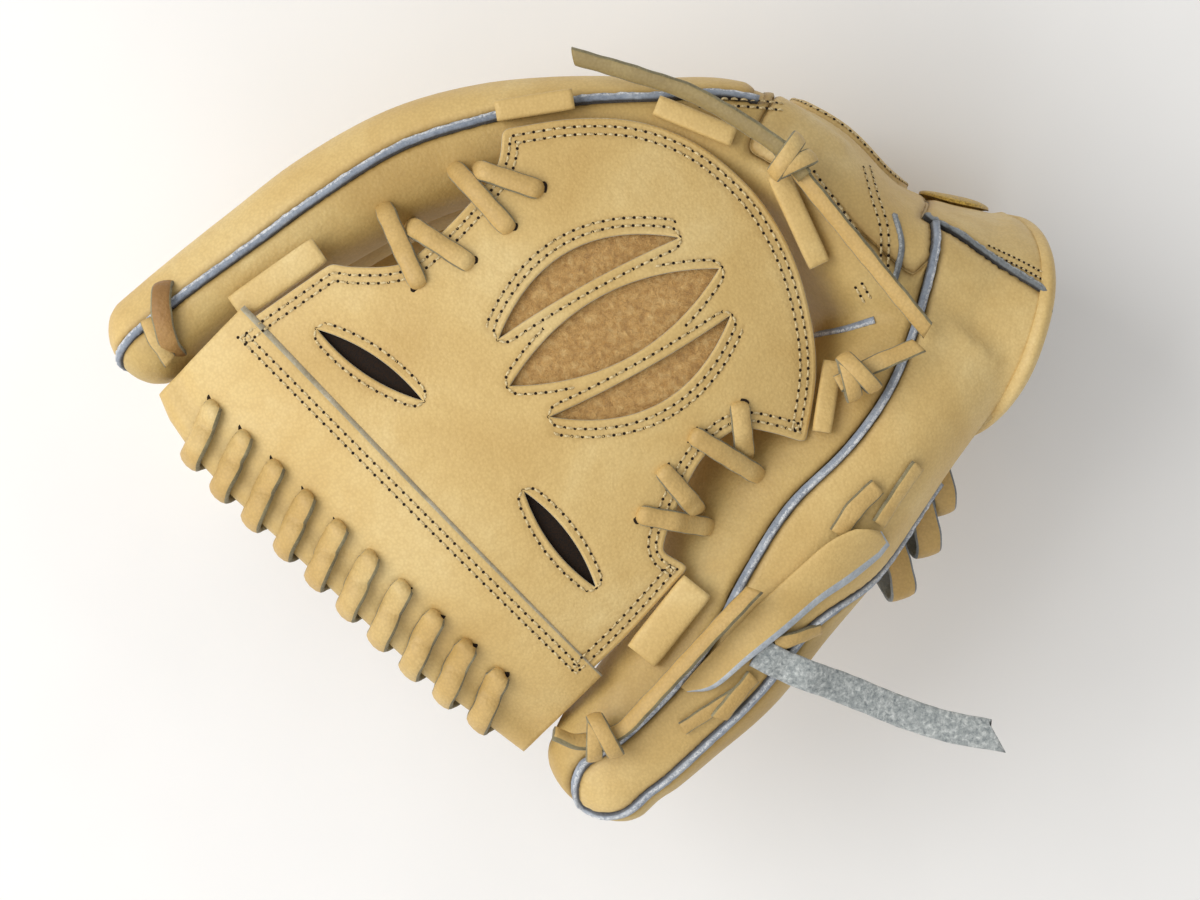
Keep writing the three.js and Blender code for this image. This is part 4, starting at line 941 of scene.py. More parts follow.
def strip(mesh, path, sides, width=LACE["width"], thick=LACE["thick"], step=1.1, slant=0.0, kinds=STRIP_KINDS,
          wobble=0.0, closed=False, shares=1.0, profile=STRIP_PROFILE):
    """A strip along path, facing side x along. sides has the width's direction at each point, and shares
    scales the width there."""
    path = np.asarray(path, float)
    sides = np.broadcast_to(np.asarray(sides, float), path.shape)
    shares = np.broadcast_to(np.asarray(shares, float), len(path))
    line = resample(np.column_stack([path, sides, shares]), step, closed)
    place, side, share = line[:, :3], line[:, 3:6], np.clip(line[:, 6:], 0.3, 1.1)
    if closed:
        along = unit(np.roll(place, -1, 0) - np.roll(place, 1, 0))
    else:
        along = unit(np.gradient(place, axis=0))
    side = unit(side - along * (side * along).sum(1)[:, None])
    out = unit(np.cross(side, along))
    a, b = np.array(profile).T
    length = np.linspace(0, len(place) * step, len(place))[:, None]
    ripple = 1 + wobble * np.sin(length * 0.55 + path[0, 0]) * np.sin(length * 0.23 + path[0, 1])
    across = (a[None] * width / 2 * ripple * share)[..., None] * side[:, None]
    rise = (b * thick / 2)[None, :, None] * out[:, None]
    rings = place[:, None] + across + rise
    if slant:
        rings[-1] += (a * slant)[:, None] * along[-1]
        rings[-2] += (a * slant * 0.6)[:, None] * along[-2]
    mesh.grid(rings, kinds, around=True, along=closed, caps=None if closed else 1)
    return place


def add_strip(name, nodes, path, sides, *sizes, materials=LACE_MATERIALS, slot="lace", **options):
    """A piece that is one strip, and the strip's centre line."""
    mesh = Mesh()
    centre = strip(mesh, path, sides, *sizes, **options)
    return make_piece(name, mesh, materials, nodes), centre


def painted_shade_slot(mesh, centre, normal, along, half_long, half_wide):
    """A near-black disc lying on a surface: painted shade in the mouth of a lace hole."""
    normal = unit(np.asarray(normal, float))
    along = unit(np.asarray(along, float) - normal * (np.asarray(along, float) @ normal))
    side = np.cross(normal, along)
    turns = np.radians(np.arange(0, 360, 22.5))
    flat = np.outer(np.cos(turns), along * half_long) + np.outer(np.sin(turns), side * half_wide)
    ring = centre + flat + normal * 0.06
    mesh.add([*ring, centre + normal * 0.1], [(i, (i + 1) % 16, 16) for i in range(16)])


# Welts: grey raw edges that stand up between the two leathers of a seam.
def welt_line(loft, start, end, towards, seam):
    """Places along one seam: u, bend towards the tip, and which seam."""
    count = int((loft.length_at(end) - loft.length_at(start)) / 1.6)
    return [(u, 0.0, towards, seam) for u in np.linspace(start, end, max(count, 2))]


BURIED = 5.0  # a finger's seam this far under the outer skin lies between two stalls


def welt_points(loft, near_from, far_from):
    tip = [(loft.last, bend) for bend in np.linspace(6, 90, 13)]
    buried = FOREVER if loft is THUMB_LOFT else BURIED
    route = welt_line(loft, near_from, loft.last, 1, SEAM_NEAR)
    route += [(u, bend, 1, SEAM_NEAR) for u, bend in tip]
    route += [(u, bend, -1, SEAM_FAR) for u, bend in tip[-2::-1]]
    route += welt_line(loft, far_from, loft.last, -1, SEAM_FAR)[::-1]
    places, rays, sides = [], [], []
    for u, bend, towards, seam in route:
        row, along, dorsal, side, place = (x[0] for x in loft.frames([u]))
        seams = {key: loft.polar([u], [row[key]])[0] for key in (SEAM_NEAR, SEAM_FAR)}
        rays_of = {key: dorsal * math.cos(a) + side * math.sin(a) for key, a in seams.items()}
        other = SEAM_FAR if seam == SEAM_NEAR else SEAM_NEAR
        turn = math.radians(bend)
        ray = rays_of[seam] * math.cos(turn) + along * math.sin(turn)
        reach = np.linalg.norm(loft.points([u], [row[seam]])[0, 0] - place)
        own = np.cross(along, rays_of[seam]) * towards
        mate = np.cross(along, rays_of[other]) * -towards
        share = 0.5 * smooth_step(bend / 90)
        hit, _ = skin_ray(place + ray * 2, ray, 80)
        if hit is None or (bend == 0 and np.linalg.norm(hit - place) > reach + buried):
            hit = place + ray * reach
        places.append(hit)
        rays.append(ray)
        sides.append(unit(own * (1 - share) + mate * share))
    return np.array(places), np.array(rays), np.array(sides)


def even_out(values, passes=3):
    values = values.copy()
    for _ in range(passes):
        values[1:-1] = values[1:-1] * 0.5 + (values[:-2] + values[2:]) * 0.25
    return values


WELT_PROFILE = [
    (-1, -3), (-1, 0.0), (-0.84, 0.68), (-0.4, 0.97), (0.1, 1.0), (0.3, 1.02), (0.7, 0.9), (0.95, 0.45),
    (1, -0.2), (1, -3),
]
# A raw edge's painted light across its profile: over 0 a painted shadow at its foot, under 0 white fibres
# with a painted highlight on the top's lit side.
WELT_SHADOW_AND_HIGHLIGHT = [1.0, 0.95, 0.15, 0.0, -0.1, -0.85, -1.0, -0.6, 0.6, 1.0]
WELT_RAGGED = [0, 0, 1, 1, 1, 1.2, 1.6, 1.2, 0.4, 0]
FUZZ = np.random.default_rng(11)


def add_edge_line(name, places, rays, sides, width, proud, material="raw_edge", nodes=()):
    """A raw leather edge standing out along rays: dark on one side, a painted shadow, and on the other loose
    white fibres with a painted highlight.
    """
    across = np.array([a * width / 2 for a, _ in WELT_PROFILE])
    rise = np.array([b * proud if b > 0 else b for _, b in WELT_PROFILE])
    rings = places[:, None] + across[None, :, None] * sides[:, None] + rise[None, :, None] * rays[:, None]
    ragged = FUZZ.normal(0, 0.11, rings.shape[:2]) * np.array(WELT_RAGGED)
    rings = rings + ragged[..., None] * (rays[:, None] + 0.5 * sides[:, None])
    rings[..., 2] = np.maximum(rings[..., 2], 0)
    mesh = Mesh()
    mesh.grid(rings, around=True, caps=0, patina_and_painted_light=np.tile(WELT_SHADOW_AND_HIGHLIGHT, len(rings)))
    make_piece(name, mesh, [material], nodes)


def on_skin(line):
    """Places and evened normals of the skin under plan points."""
    hits = [skin_ray((x, y, 300.0), (0, 0, -1)) for x, y in line]
    places = np.array([hit for hit, _ in hits])
    return places, unit(even_out(np.array([normal for _, normal in hits]), 4))


def plan_line(points, step=1.0, aside=0.0):
    line = resample(points, step)
    along = unit(np.gradient(line, axis=0))
    return line + np.stack([-along[:, 1], along[:, 0]], 1) * aside


THUMB_WELT_END = [[97.3, 42.4], [100.5, 54.4], [102.5, 63.9], [102.4, 69.2]]


def along_plan(welt):
    """The welt with its last stretch, up to the strap, drawn in plan."""
    places, rays, sides = welt
    half = len(places) // 2
    last = half + int(np.argmax(places[half:, 1] > THUMB_WELT_END[0][1] - 1.5))
    end, normals = on_skin(plan_line(THUMB_WELT_END, 1.6))
    across = np.cross(unit(np.gradient(end, axis=0)), normals)
    across = across * np.sign(across[0] @ sides[last - 1])
    joined = ((places, end), (rays, normals), (sides, across))
    return [np.concatenate([before[:last], after]) for before, after in joined]


def add_welt(name, loft, starts):
    welt = welt_points(loft, *starts)
    if loft is THUMB_LOFT:
        welt = along_plan(welt)
    places, rays, sides = (even_out(v) for v in welt)
    add_edge_line(f"{name}_welt_edge", places, unit(rays), unit(sides), WELT["width"], WELT["proud"],
                  nodes=[f"{name}_welt"])


for finger, finger_loft in FINGERS.items():
    add_welt(finger, finger_loft, WELT_STARTS[finger])
add_welt("thumb", THUMB_LOFT, WELT_STARTS["thumb"])


# The binding round the wrist: a rolled strip over the edge of the leather.
def add_wrist_binding():
    degrees = np.arange(0, 360, 2.0)
    along = HAND_LOFT.frames([0.0])[1]
    outer = HAND_LOFT.points([0.0], degrees, (0.9, 0.9, 0.9))[0]
    inner = HAND_LOFT.points([0.0], degrees, (-4.8, -8.8, -6.8))[0]
    push = wrist_push(degrees)[:, None]
    profile = [(1.0, RIM + 0.2), (1.05, RIM * 0.6)]
    for turn in np.radians(np.linspace(90, -90, 11)):
        profile.append((0.5 + 0.56 * math.sin(turn), RIM * 0.5 * (1 - math.cos(turn))))
    profile += [(-0.04, RIM * 0.7), (0.0, RIM + 0.5)]
    rings = []
    for share, ahead in profile:
        rings.append(inner + (outer - inner) * share + along * (push + ahead))
    rings = np.array(rings).transpose(1, 0, 2)
    rings[..., 2] = np.maximum(rings[..., 2], 0)
    mesh = Mesh()
    mesh.grid(rings, around=True, along=True)
    make_piece("wrist_roll", mesh, ["leather"], ["wrist_binding"])


def opening_loop():
    """The opening's edge on the back of the hand, in even steps."""
    angle = np.linspace(0, 2 * np.pi, 720, endpoint=False)
    c, s = np.cos(angle), np.sin(angle)
    corner = 2 / OPENING_POWER
    u = OPENING_MIDDLE[0] + OPENING_HALF[0] * np.sign(s) * np.abs(s) ** corner
    z = OPENING_MIDDLE[1] + OPENING_HALF[1] * np.sign(c) * np.abs(c) ** corner
    row, _, dorsal, _, place = HAND_LOFT.frames(u)
    across = z - row[:, Z]
    half = np.where(across > 0, row[:, NEAR], row[:, FAR])
    out = row[:, UP] * (1 - np.abs(across / half) ** ROUNDNESS) ** (1 / ROUNDNESS)
    return closed_even(place + dorsal * out[:, None] + UPRIGHT * across[:, None], 2.0)


def nearest_normals(places, passes):
    """The skin's normals nearest to places along a line, evened."""
    normals = [SKIN_TREE.find_nearest(Vector(p))[1] for p in places]
    return unit(even_out(np.array(normals), passes))


ROLL = {"inwards": 2.2, "half": 3.0, "sunk": 0.9, "high": 2.6}
ROLL_ROWS = []
ROLL_ROW_AT = 48  # degrees up the roll's outer flank


def add_opening_binding():
    loop = opening_loop()
    along = unit(np.roll(loop, -1, 0) - np.roll(loop, 1, 0))
    out = nearest_normals(loop, 6)
    inwards = unit(np.cross(out, along))
    inwards = inwards * np.sign((inwards * (loop.mean(0) - loop)).sum(1))[:, None]

    def around(degrees):
        c, s = math.cos(math.radians(degrees)), math.sin(math.radians(degrees))
        shift = inwards * (ROLL["inwards"] - ROLL["half"] * c) + out * (ROLL["high"] * s - ROLL["sunk"])
        return loop + shift, unit(out * s / ROLL["high"] - inwards * c / ROLL["half"])

    mesh = Mesh()
    rings = np.array([around(degrees)[0] for degrees in np.arange(0, 360, 22.5)])
    mesh.grid(rings.transpose(1, 0, 2), around=True, along=True)
    ROLL_ROWS.append(around(ROLL_ROW_AT))
    piece = make_piece("opening_roll", mesh, ["leather"], ["opening_binding"])


add_wrist_binding()
add_opening_binding()


# Raw edges and stitch rows that lie on the skin. Lines are places in plan, on the skin seen from above.
SKIN_EDGES = {
    "panel_edge": ([[89.4, 71.4], [91.4, 61.6], [89.2, 50.7]], 1.9, "dark_edge"),
    "crotch_edge": ([[66, 35.2], [74.8, 36.9], [83.5, 39.6]], 2.3, "raw_edge"),
}
# Rows of stitches: a line, how far aside of it the rows run, the pitch and the thread's width.
SKIN_ROWS = [
    ([[30.3, 103.9], [37.9, 104.2], [47, 103.8], [56, 103]], (0, 2.2), 3.1, 0.8),
    ([[64.8, 84.2], [67.8, 79.9], [71.1, 75.7], [74.4, 71.1], [77.8, 66.3], [80.8, 61.8]], (0,), 3.1, 0.8),
    ([[82.6, 86.7], [84.5, 77.2], [87.2, 66.8], [87.2, 52.8]], (0, -2.3), 3.1, 0.8),
    ([[79.5, 50.5], [82.6, 45.5]], (0, -2.2), 2.6, 0.8),
    ([[119, 62.4], [128.5, 57.9], [137, 53.2]], (0, -2.0), 1.7, 0.4),
]


def add_strap_edge():
    """The strap's raw edge, along the upper side of its own cut."""
    cut = STRAP_CUT[0]
    _, length, _, _ = HAND_LOFT.locate(cut)
    upper = (cut[:, 2] > STRAP_UPPER) & (length < HAND_LOFT.length_at(STRAP_END) - 1)
    cut = cut[upper][np.argsort(length[upper])]
    at = np.linspace(0, len(cut) - 1, 60)
    places = np.stack([np.interp(at, np.arange(len(cut)), column) for column in cut.T], 1)
    places = even(even_out(places, 8), 1.2)
    rays = nearest_normals(places, 8)
    sides = unit(np.cross(unit(np.gradient(places, axis=0)), rays))
    add_edge_line("strap_raw_edge", places, rays, sides, 2.4, 0.7, "dark_edge")


def add_skin_edges():
    for name, (points, width, material) in SKIN_EDGES.items():
        places, normals = on_skin(plan_line(points))
        sides = unit(np.cross(unit(np.gradient(places, axis=0)), normals))
        add_edge_line(name, places, normals, sides, width, 0.8, material)


add_strap_edge()
add_skin_edges()


# The web: a domed panel with windows and slits over suede, sewn all round.
RIM_START = (-111, 35.4)
RIM_ALONG = np.array([0.706, -0.708])
RIM_OUT = np.array([-0.708, -0.706])
# Distances along the rim's seam, and how far out the rim's fold is there.
RIM_REACH = [
    [-3, 29.5], [4.5, 32.5], [17.5, 34.8], [31, 35.4], [44, 34.8], [57, 34.2], [70.5, 33.8], [83.5, 33.6],
    [96.5, 33.3], [110, 33], [123, 32], [136, 30.3], [152.5, 28.5],
]
RIM_SPAN = (-3, 152.5)
RIM_TOP = LEATHER + 1.5
FOLD = 5.5
TURNS = 10
PITCH = 13.15
FIRST_HOLE = 11.2
AXIS = (0.871, 0.49)
AXIS_DEGREES = 29.4
WEB_OUTLINE = [
    [-111, 35.4], [-80.4, 56.4], [-76.5, 55.2], [-63, 55.2], [-54.6, 58.8], [-39.6, 73.5], [-30.9, 85.5],
    [-29.4, 96.6], [-7.5, 99.9], [12, 99], [30, 92.1], [46.5, 78], [57, 61.5], [63, 43.5], [65.4, 24],
    [62.4, 2.1], [51, 5.4], [40.5, 6], [30, -3.6], [21.6, -21], [18.6, -30.6], [27, -35.4], [7.5, -57],
    [-6, -69.9],
]
WEB_CORNERS = [0, 1, 7, 15, 20, 21, 23]


def web_point(p, q):
    return p * AXIS[0] - q * AXIS[1], p * AXIS[1] + q * AXIS[0]


def web_height(x, y):
    p = x * AXIS[0] + y * AXIS[1] + 10
    q = -x * AXIS[1] + y * AXIS[0] - 22
    fall_q = np.where(q > 0, 0.0012, 0.0036)
    fall_p = np.where(p > 0, 0.0018, 0.0012)
    return WEB_TOP - fall_q * q * q - fall_p * p * p


def leaf(x, y, half, wide, bend, degrees, count=40):
    """A pointed oval bent sideways."""
    t = np.linspace(-1, 1, count, endpoint=False)
    upper = np.stack([-t * half, wide * (1 - t * t) + bend * t * t], 1)
    lower = np.stack([t * half, -wide * (1 - t * t) + bend * t * t], 1)
    turn = math.radians(degrees)
    around = np.array([[math.cos(turn), math.sin(turn)], [-math.sin(turn), math.cos(turn)]])
    return np.concatenate([lower, upper]) @ around + [x, y]


# Pointed ovals: x, y, half length, half width, bend and direction in degrees.
WINDOWS = [
    (*web_point(22, 30), 36, 10, 0, AXIS_DEGREES),
    (*web_point(21, 51), 31, 5.5, -7, AXIS_DEGREES),
    (*web_point(23, 9), 31, 5.5, 7, AXIS_DEGREES),
]
SLITS = [(-69, 25.5, 19, 3, 0, -34), (-12, -27, 18, 3, 0, -53.5)]
BACKING_LEAF = (*web_point(22, 30), 46, 40, 0, AXIS_DEGREES)


def rounded(loop, passes=4):
    """A closed plan loop with its corners eased."""
    for _ in range(passes):
        loop = loop * 0.5 + (np.roll(loop, 1, 0) + np.roll(loop, -1, 0)) * 0.25
    return loop


def offset(loop, distance):
    """A closed plan loop, counter-clockwise, moved inwards by distance."""
    along = np.roll(loop, -1, 0) - np.roll(loop, 1, 0)
    along = along / np.maximum(np.linalg.norm(along, axis=1, keepdims=True), 1e-9)
    return loop + np.stack([-along[:, 1], along[:, 0]], 1) * distance


def turned_left(loop):
    """A closed plan loop, counter-clockwise."""
    x, y = loop.T
    return loop if (x * np.roll(y, -1) - np.roll(x, -1) * y).sum() > 0 else loop[::-1]


def inside(points, loop):
    """Whether plan points lie in a closed loop."""
    x, y = points.T
    result = np.zeros(len(points), bool)
    for (x0, y0), (x1, y1) in zip(loop, np.roll(loop, -1, 0)):
        if y0 == y1:
            continue
        crosses = (y0 > y) != (y1 > y)
        result ^= crosses & (x < (x1 - x0) * (y - y0) / (y1 - y0) + x0)
    return result


def distance_to(points, line, closed=True):
    """Distance in plan from each point to a line of close points."""
    best = np.full(len(points), np.inf)
    others = np.roll(line, -1, 0) if closed else line[1:]
    for a, b in zip(line, others):
        d = b - a
        t = np.clip(((points - a) @ d) / max(d @ d, 1e-12), 0, 1)
        best = np.minimum(best, ((points - a - t[:, None] * d) ** 2).sum(1))
    return np.sqrt(best)


# A sheet's rounded edge: inset from the outline with drop from the face, then with height over the underside.
EDGE_TOP = [(0.9, 0.0), (0.45, 0.1), (0.14, 0.36), (0.0, 0.8)]
EDGE_FOOT = [(0.0, 0.45), (0.2, 0.1), (0.9, 0.0)]


def panel(mesh, outline, holes, height, thick, grooves, grid=1.25, edge_kind=1, depth=0.34):
    """A leather sheet on a dome, with rounded edges at its outline and holes, and grooves under stitches,
    darker in colour in the grooves: painted shade.
    """
    loops = [(outline, 1)] + [(hole, -1) for hole in holes]
    tops = [offset(loop, EDGE_TOP[0][0] * turn) for loop, turn in loops]
    low, high = outline.min(0), outline.max(0)
    xs, ys = np.meshgrid(np.arange(low[0], high[0], grid), np.arange(low[1], high[1], grid))
    inner = np.stack([xs.ravel(), ys.ravel()], 1)
    inner[:, 0] += (np.round((inner[:, 1] - low[1]) / grid) % 2) * grid / 2
    keep = inside(inner, tops[0]) & (distance_to(inner, tops[0]) > grid * 0.55)
    inner = inner[keep]
    for top in tops[1:]:
        inner = inner[~inside(inner, top) & (distance_to(inner, top) > grid * 0.55)]
    plan = [Vector(p) for p in np.concatenate(tops + [inner])]
    edges, start = [], 0
    for top in tops:
        edges += [(start + i, start + (i + 1) % len(top)) for i in range(len(top))]
        start += len(top)
    found = delaunay_2d_cdt(plan, edges, [], 0, 1e-6)
    flat = np.array([list(v) for v in found[0]])
    tris = np.array([f for f in found[2] if len(f) == 3])
    centres = flat[tris].mean(1)
    keep = inside(centres, tops[0])
    for top in tops[1:]:
        keep &= ~inside(centres, top)
    tris = tris[keep]
    dip = np.zeros(len(flat))
    for line, closed in grooves:
        dip = np.maximum(dip, depth * np.exp(-(distance_to(flat, line, closed) / 0.75) ** 2))
    top_z = height(flat[:, 0], flat[:, 1]) - dip
    bottom_z = height(flat[:, 0], flat[:, 1]) - thick
    # Darker in colour where the grooves dip: painted shade.
    mesh.add(np.column_stack([flat, top_z]), [tuple(t) for t in tris.tolist()], 0, dip / 0.7)
    mesh.add(np.column_stack([flat, bottom_z]), [tuple(t[::-1]) for t in tris.tolist()], edge_kind + 1)
    for loop, turn in loops:
        rings = []
        for inset, drop in EDGE_TOP + [(inset, thick - up) for inset, up in EDGE_FOOT]:
            at = offset(loop, inset * turn)
            rings.append(np.column_stack([at, height(at[:, 0], at[:, 1]) - drop]))
        rings = np.array(rings).transpose(1, 0, 2)[::-turn]
        mesh.grid(rings, [0, 0] + [edge_kind] * 4, along=True)


def row_at(loop, inset, step=1.2):
    """A stitch row inside a loop: the loop moved inwards, evened and eased."""
    return closed_even(rounded(offset(loop, inset), 3), step)


WEB_LOOP = rounded(turned_left(cornered_loop(WEB_OUTLINE, 1.0, WEB_CORNERS)), 5)
HOLE_LOOPS = [turned_left(closed_even(leaf(*shape), 0.9)) for shape in WINDOWS + SLITS]
ROW_GAP = 2.4
LAP = {"reach": (8.6, 5.8), "bevel": (1.5, 0.5), "thick": (1.5, 0.9), "length": 150.0}


def rim_place(x, y):
    """Distance along the rim's seam, and outwards from it."""
    dx, dy = x - RIM_START[0], y - RIM_START[1]
    return dx * RIM_ALONG[0] + dy * RIM_ALONG[1], dx * RIM_OUT[0] + dy * RIM_OUT[1]


def lap_size(s):
    """How far the rim's leather laps over the web at s, how wide its cut edge is, and how thick it is."""
    share = np.clip(s / LAP["length"], 0, 1)
    return [LAP[key][0] * (1 - share) + LAP[key][1] * share for key in ("reach", "bevel", "thick")]


def lap_height(x, y):
    """Height of the rim's leather over the web's outer face, where it laps over it."""
    s, q = rim_place(x, y)
    reach, bevel, thick = lap_size(s)
    covered = (q > -reach) & (s > RIM_SPAN[0]) & (s < RIM_SPAN[1])
    return np.where(covered, thick * np.clip((q + reach) / bevel, 0.08, 1), 0.0)


def pulled_to_rim(line):
    """Rows that run beside the rim move out to its seam."""
    _, q = rim_place(line[:, 0], line[:, 1])
    weight = 1 - smooth_step((-q - 6.5) / 3)
    return line + RIM_OUT * (2.0 * weight)[:, None]


def clear_runs(line, rows, loops, own, clear):
    """The stretches of a closed line that keep clear of other rows and of the other holes."""
    gap = np.full(len(line), np.inf)
    for other, closed in rows:
        gap = np.minimum(gap, distance_to(line, other, closed))
    for k, loop in enumerate(loops):
        if k != own:
            gap = np.minimum(gap, np.where(inside(line, loop), 0, distance_to(line, loop)))
    free = gap > clear
    if free.all():
        return [(line, True)]
    first = int(np.argmin(free))
    line, free = np.roll(line, -first, 0), np.roll(free, -first)
    runs, start = [], None
    for i, good in enumerate(list(free) + [False]):
        if good and start is None:
            start = i
        if not good and start is not None:
            if i - start > 7:
                runs.append((line[start:i], False))
            start = None
    return runs


WEB_ROWS = [(pulled_to_rim(row_at(WEB_LOOP, inset)), True) for inset in (2.5, 2.5 + ROW_GAP)]
HOLE_ROWS = []
for hole_number in (1, 2, 0, 3, 4):
    row = row_at(HOLE_LOOPS[hole_number], -2.7)
    HOLE_ROWS += clear_runs(row, HOLE_ROWS, HOLE_LOOPS, hole_number, 2.0)
for hole_number in (1, 2):
    row = row_at(HOLE_LOOPS[hole_number], -2.7 - ROW_GAP)
    HOLE_ROWS += clear_runs(row, HOLE_ROWS, HOLE_LOOPS, hole_number, 2.0)


def add_web():
    mesh = Mesh()
    panel(mesh, WEB_LOOP, HOLE_LOOPS, web_height, LEATHER, WEB_ROWS + HOLE_ROWS)
    make_piece("web_leather", mesh, ["leather", "cut_edge", "suede"], ["web_panel"])

    def lower(x, y):
        return web_height(x, y) - LEATHER - GAP

    # Under the slits, a near-black sheet: painted shade of the glove's inside.
    slits = [(x, y, half + 4, wide + 4.5, bend, degrees) for x, y, half, wide, bend, degrees in SLITS]
    for name, shapes, thick, material, nodes in (
            ("web_suede", [BACKING_LEAF], 1.4, "suede", ["web_backing"]),
            ("web_slit_shade", slits, 1.2, "hole", ())):
        mesh = Mesh()
        for shape in shapes:
            panel(mesh, turned_left(closed_even(leaf(*shape), 1.6)), [], lower, thick, [], 2.2, 0)
        make_piece(name, mesh, [material] * 2, nodes)


add_web()


# Stitches: a short raised thread between two dark discs, painted shade in the holes.
def add_stitches(mesh, line, normals, closed=True, pitch=3.1, wide=0.8, high=0.42):
    """Threads along a 3-D line of close points with the surface's normals."""
    both = np.concatenate([line, normals], 1)
    if closed:
        both = np.concatenate([both, both[:1]])
    lengths = np.concatenate([[0], np.cumsum(np.linalg.norm(np.diff(both[:, :3], axis=0), axis=1))])
    count = max(2, int(round(lengths[-1] / pitch)))
    at = (np.arange(count)[:, None] + np.linspace(0.12, 0.88, 6)[None]) / count * lengths[-1]
    flat = at.ravel()
    sampled = np.stack([np.interp(flat, lengths, column) for column in both.T], 1).reshape(count, 6, 6)
    place, normal = sampled[..., :3], unit(sampled[..., 3:])
    along = unit(place[:, -1:] - place[:, :1])
    side = unit(np.cross(normal, along))
    lift = np.array([-0.25, 0.55, 0.95, 0.95, 0.55, -0.25]) * high
    swell = np.array([0.5, 0.9, 1.0, 1.0, 0.9, 0.5]) * wide / 2
    for k in range(count):
        rings = []
        for turn in np.radians([200, 145, 90, 35, -20]):
            across = math.cos(turn) * swell
            rise = lift + (math.sin(turn) - 1) * 0.5 * high
            rings.append(place[k] + side[k] * across[:, None] + normal[k] * rise[:, None])
        mesh.grid(np.array(rings).transpose(1, 0, 2), 0)
    holes = np.stack([np.interp(np.arange(count) / count * lengths[-1], lengths, c) for c in both.T], 1)
    around = np.radians(np.arange(0, 360, 60))
    # Near-black discs: painted shade in the stitch holes.
    for hole in holes:
        normal = unit(hole[3:])
        a = unit(np.cross(normal, [0.3, 0.9, 0.2]))
        b = np.cross(normal, a)
        disc = [hole[:3] + (a * math.cos(t) + b * math.sin(t)) * 0.52 + normal * 0.04 for t in around]
        mesh.add(disc + [hole[:3] + normal * 0.02], [(i, (i + 1) % 6, 6) for i in range(6)], 1)


def on_web(line, dip=0.2):
    over = lap_height(line[:, 0], line[:, 1])
    z = web_height(line[:, 0], line[:, 1]) + np.where(over > 0, over + 0.03, -dip)
    slopes = []
    for step in ((0.5, 0), (0, 0.5)):
        after, before = line + step, line - step
        slopes.append(web_height(before[:, 0], before[:, 1]) - web_height(after[:, 0], after[:, 1]))
    return np.column_stack([line, z]), unit(np.stack([*slopes, np.ones(len(z))], 1))


def add_skin_stitches():
    mesh = Mesh()
    for points, asides, pitch, wide in SKIN_ROWS:
        for aside in asides:
            places, normals = on_skin(plan_line(points, aside=aside))
            add_stitches(mesh, places + normals * 0.12, normals, False, pitch, wide)
    for places, normals in ROLL_ROWS:
        add_stitches(mesh, places + normals * 0.12, normals, True, 3.1, 0.7)
    make_piece("skin_stitches", mesh, ["thread", "hole"], ())


def add_web_stitches():
    mesh = Mesh()
    for line, closed in WEB_ROWS + HOLE_ROWS:
        add_stitches(mesh, *on_web(line), closed)
    make_piece("web_stitches", mesh, ["thread", "hole"], ())


add_web_stitches()
add_skin_stitches()


# The rim: a folded strip along the web's open edge, with the lace wound round it.
def rim_reach(s):
    at = np.array(RIM_REACH)
    return np.interp(s, at[:, 0], at[:, 1])


def rim_point(s, q, drop):
    x = RIM_START[0] + RIM_ALONG[0] * s + RIM_OUT[0] * q
    y = RIM_START[1] + RIM_ALONG[1] * s + RIM_OUT[1] * q
    return np.array([x, y, web_height(x, y) - drop])


def fold_height(s):
    return rim_point(s, rim_reach(s) - FOLD, RIM_TOP)[2]


def hole_reach(s):
    return 19.5 - 0.033 * (s - FIRST_HOLE)


def rim_height(s, q):
    """Height of the rim's outer face between the seam and its fold."""
    level = fold_height(s)
    x, y, web = rim_point(s, q, 0)
    thick = lap_size(s)[2]
    fall = np.clip((q - 0.8) / 24, 0, 1) ** 1.15
    z = web + thick * (1 - fall) - RIM_TOP * fall
    blend = smooth_step((q - (rim_reach(s) - FOLD - 9)) / 9)
    return x, y, z * (1 - blend) + level * blend


def add_rim():
    turns = np.radians(np.linspace(90, -90, 13))
    rings = []
    for s in np.linspace(*RIM_SPAN, 120):
        reach = rim_reach(s)
        lap, bevel, _ = lap_size(s)
        ring = []
        for q in (-lap, -lap + bevel * 0.8, -lap + bevel * 1.2, -lap + bevel * 2, -2.8, -1.2, 0, 0.8):
            x, y, web = rim_point(s, q, 0)
            ring.append([x, y, web + max(0.12, float(lap_height(x, y)))])
        for q in np.linspace(2, reach - FOLD - 1.5, 18):
            ring.append(rim_height(s, q))
        for radius, order in ((FOLD, turns), (FOLD - LEATHER, turns[::-1])):
            for turn in order:
                p = rim_point(s, reach - FOLD + radius * math.cos(turn), 0)
                p[2] = fold_height(s) - FOLD + radius * math.sin(turn)
                ring.append(p)
            if radius == FOLD:
                for drop in (2 * FOLD, 2 * FOLD - LEATHER):
                    p = rim_point(s, reach - 17, 0)
                    p[2] = fold_height(s) - drop
                    ring.append(p)
        for q in np.linspace(reach - FOLD - 1.5, 1.2, 10):
            x, y, z = rim_height(s, q)
            ring.append([x, y, z - LEATHER])
        for q in (0.8, -lap):
            x, y, web = rim_point(s, q, 0)
            ring.append([x, y, web + 0.06])
        rings.append(ring)
    count = len(rings[0])
    kinds = [1, 1] + [0] * (count - 14) + [2] * 12
    mesh = Mesh()
    mesh.grid(np.array(rings), kinds, around=True, caps=1)
    materials = ["leather", "cut_edge", "lining"]
    make_piece("rim_leather", mesh, materials, ["web_rim"])


RIM_LACE_TILT = 0.42
# Places on a turn of lace round the rim's fold: share of the pitch, angle round the fold, and lift off it.
RIM_TURN = [
    (0.2, 112, 1.1), (0.34, 84, 1.1), (0.45, 48, 0.7), (0.53, 5, 0.3), (0.59, -40, 0.2), (0.7, -90, 0),
]


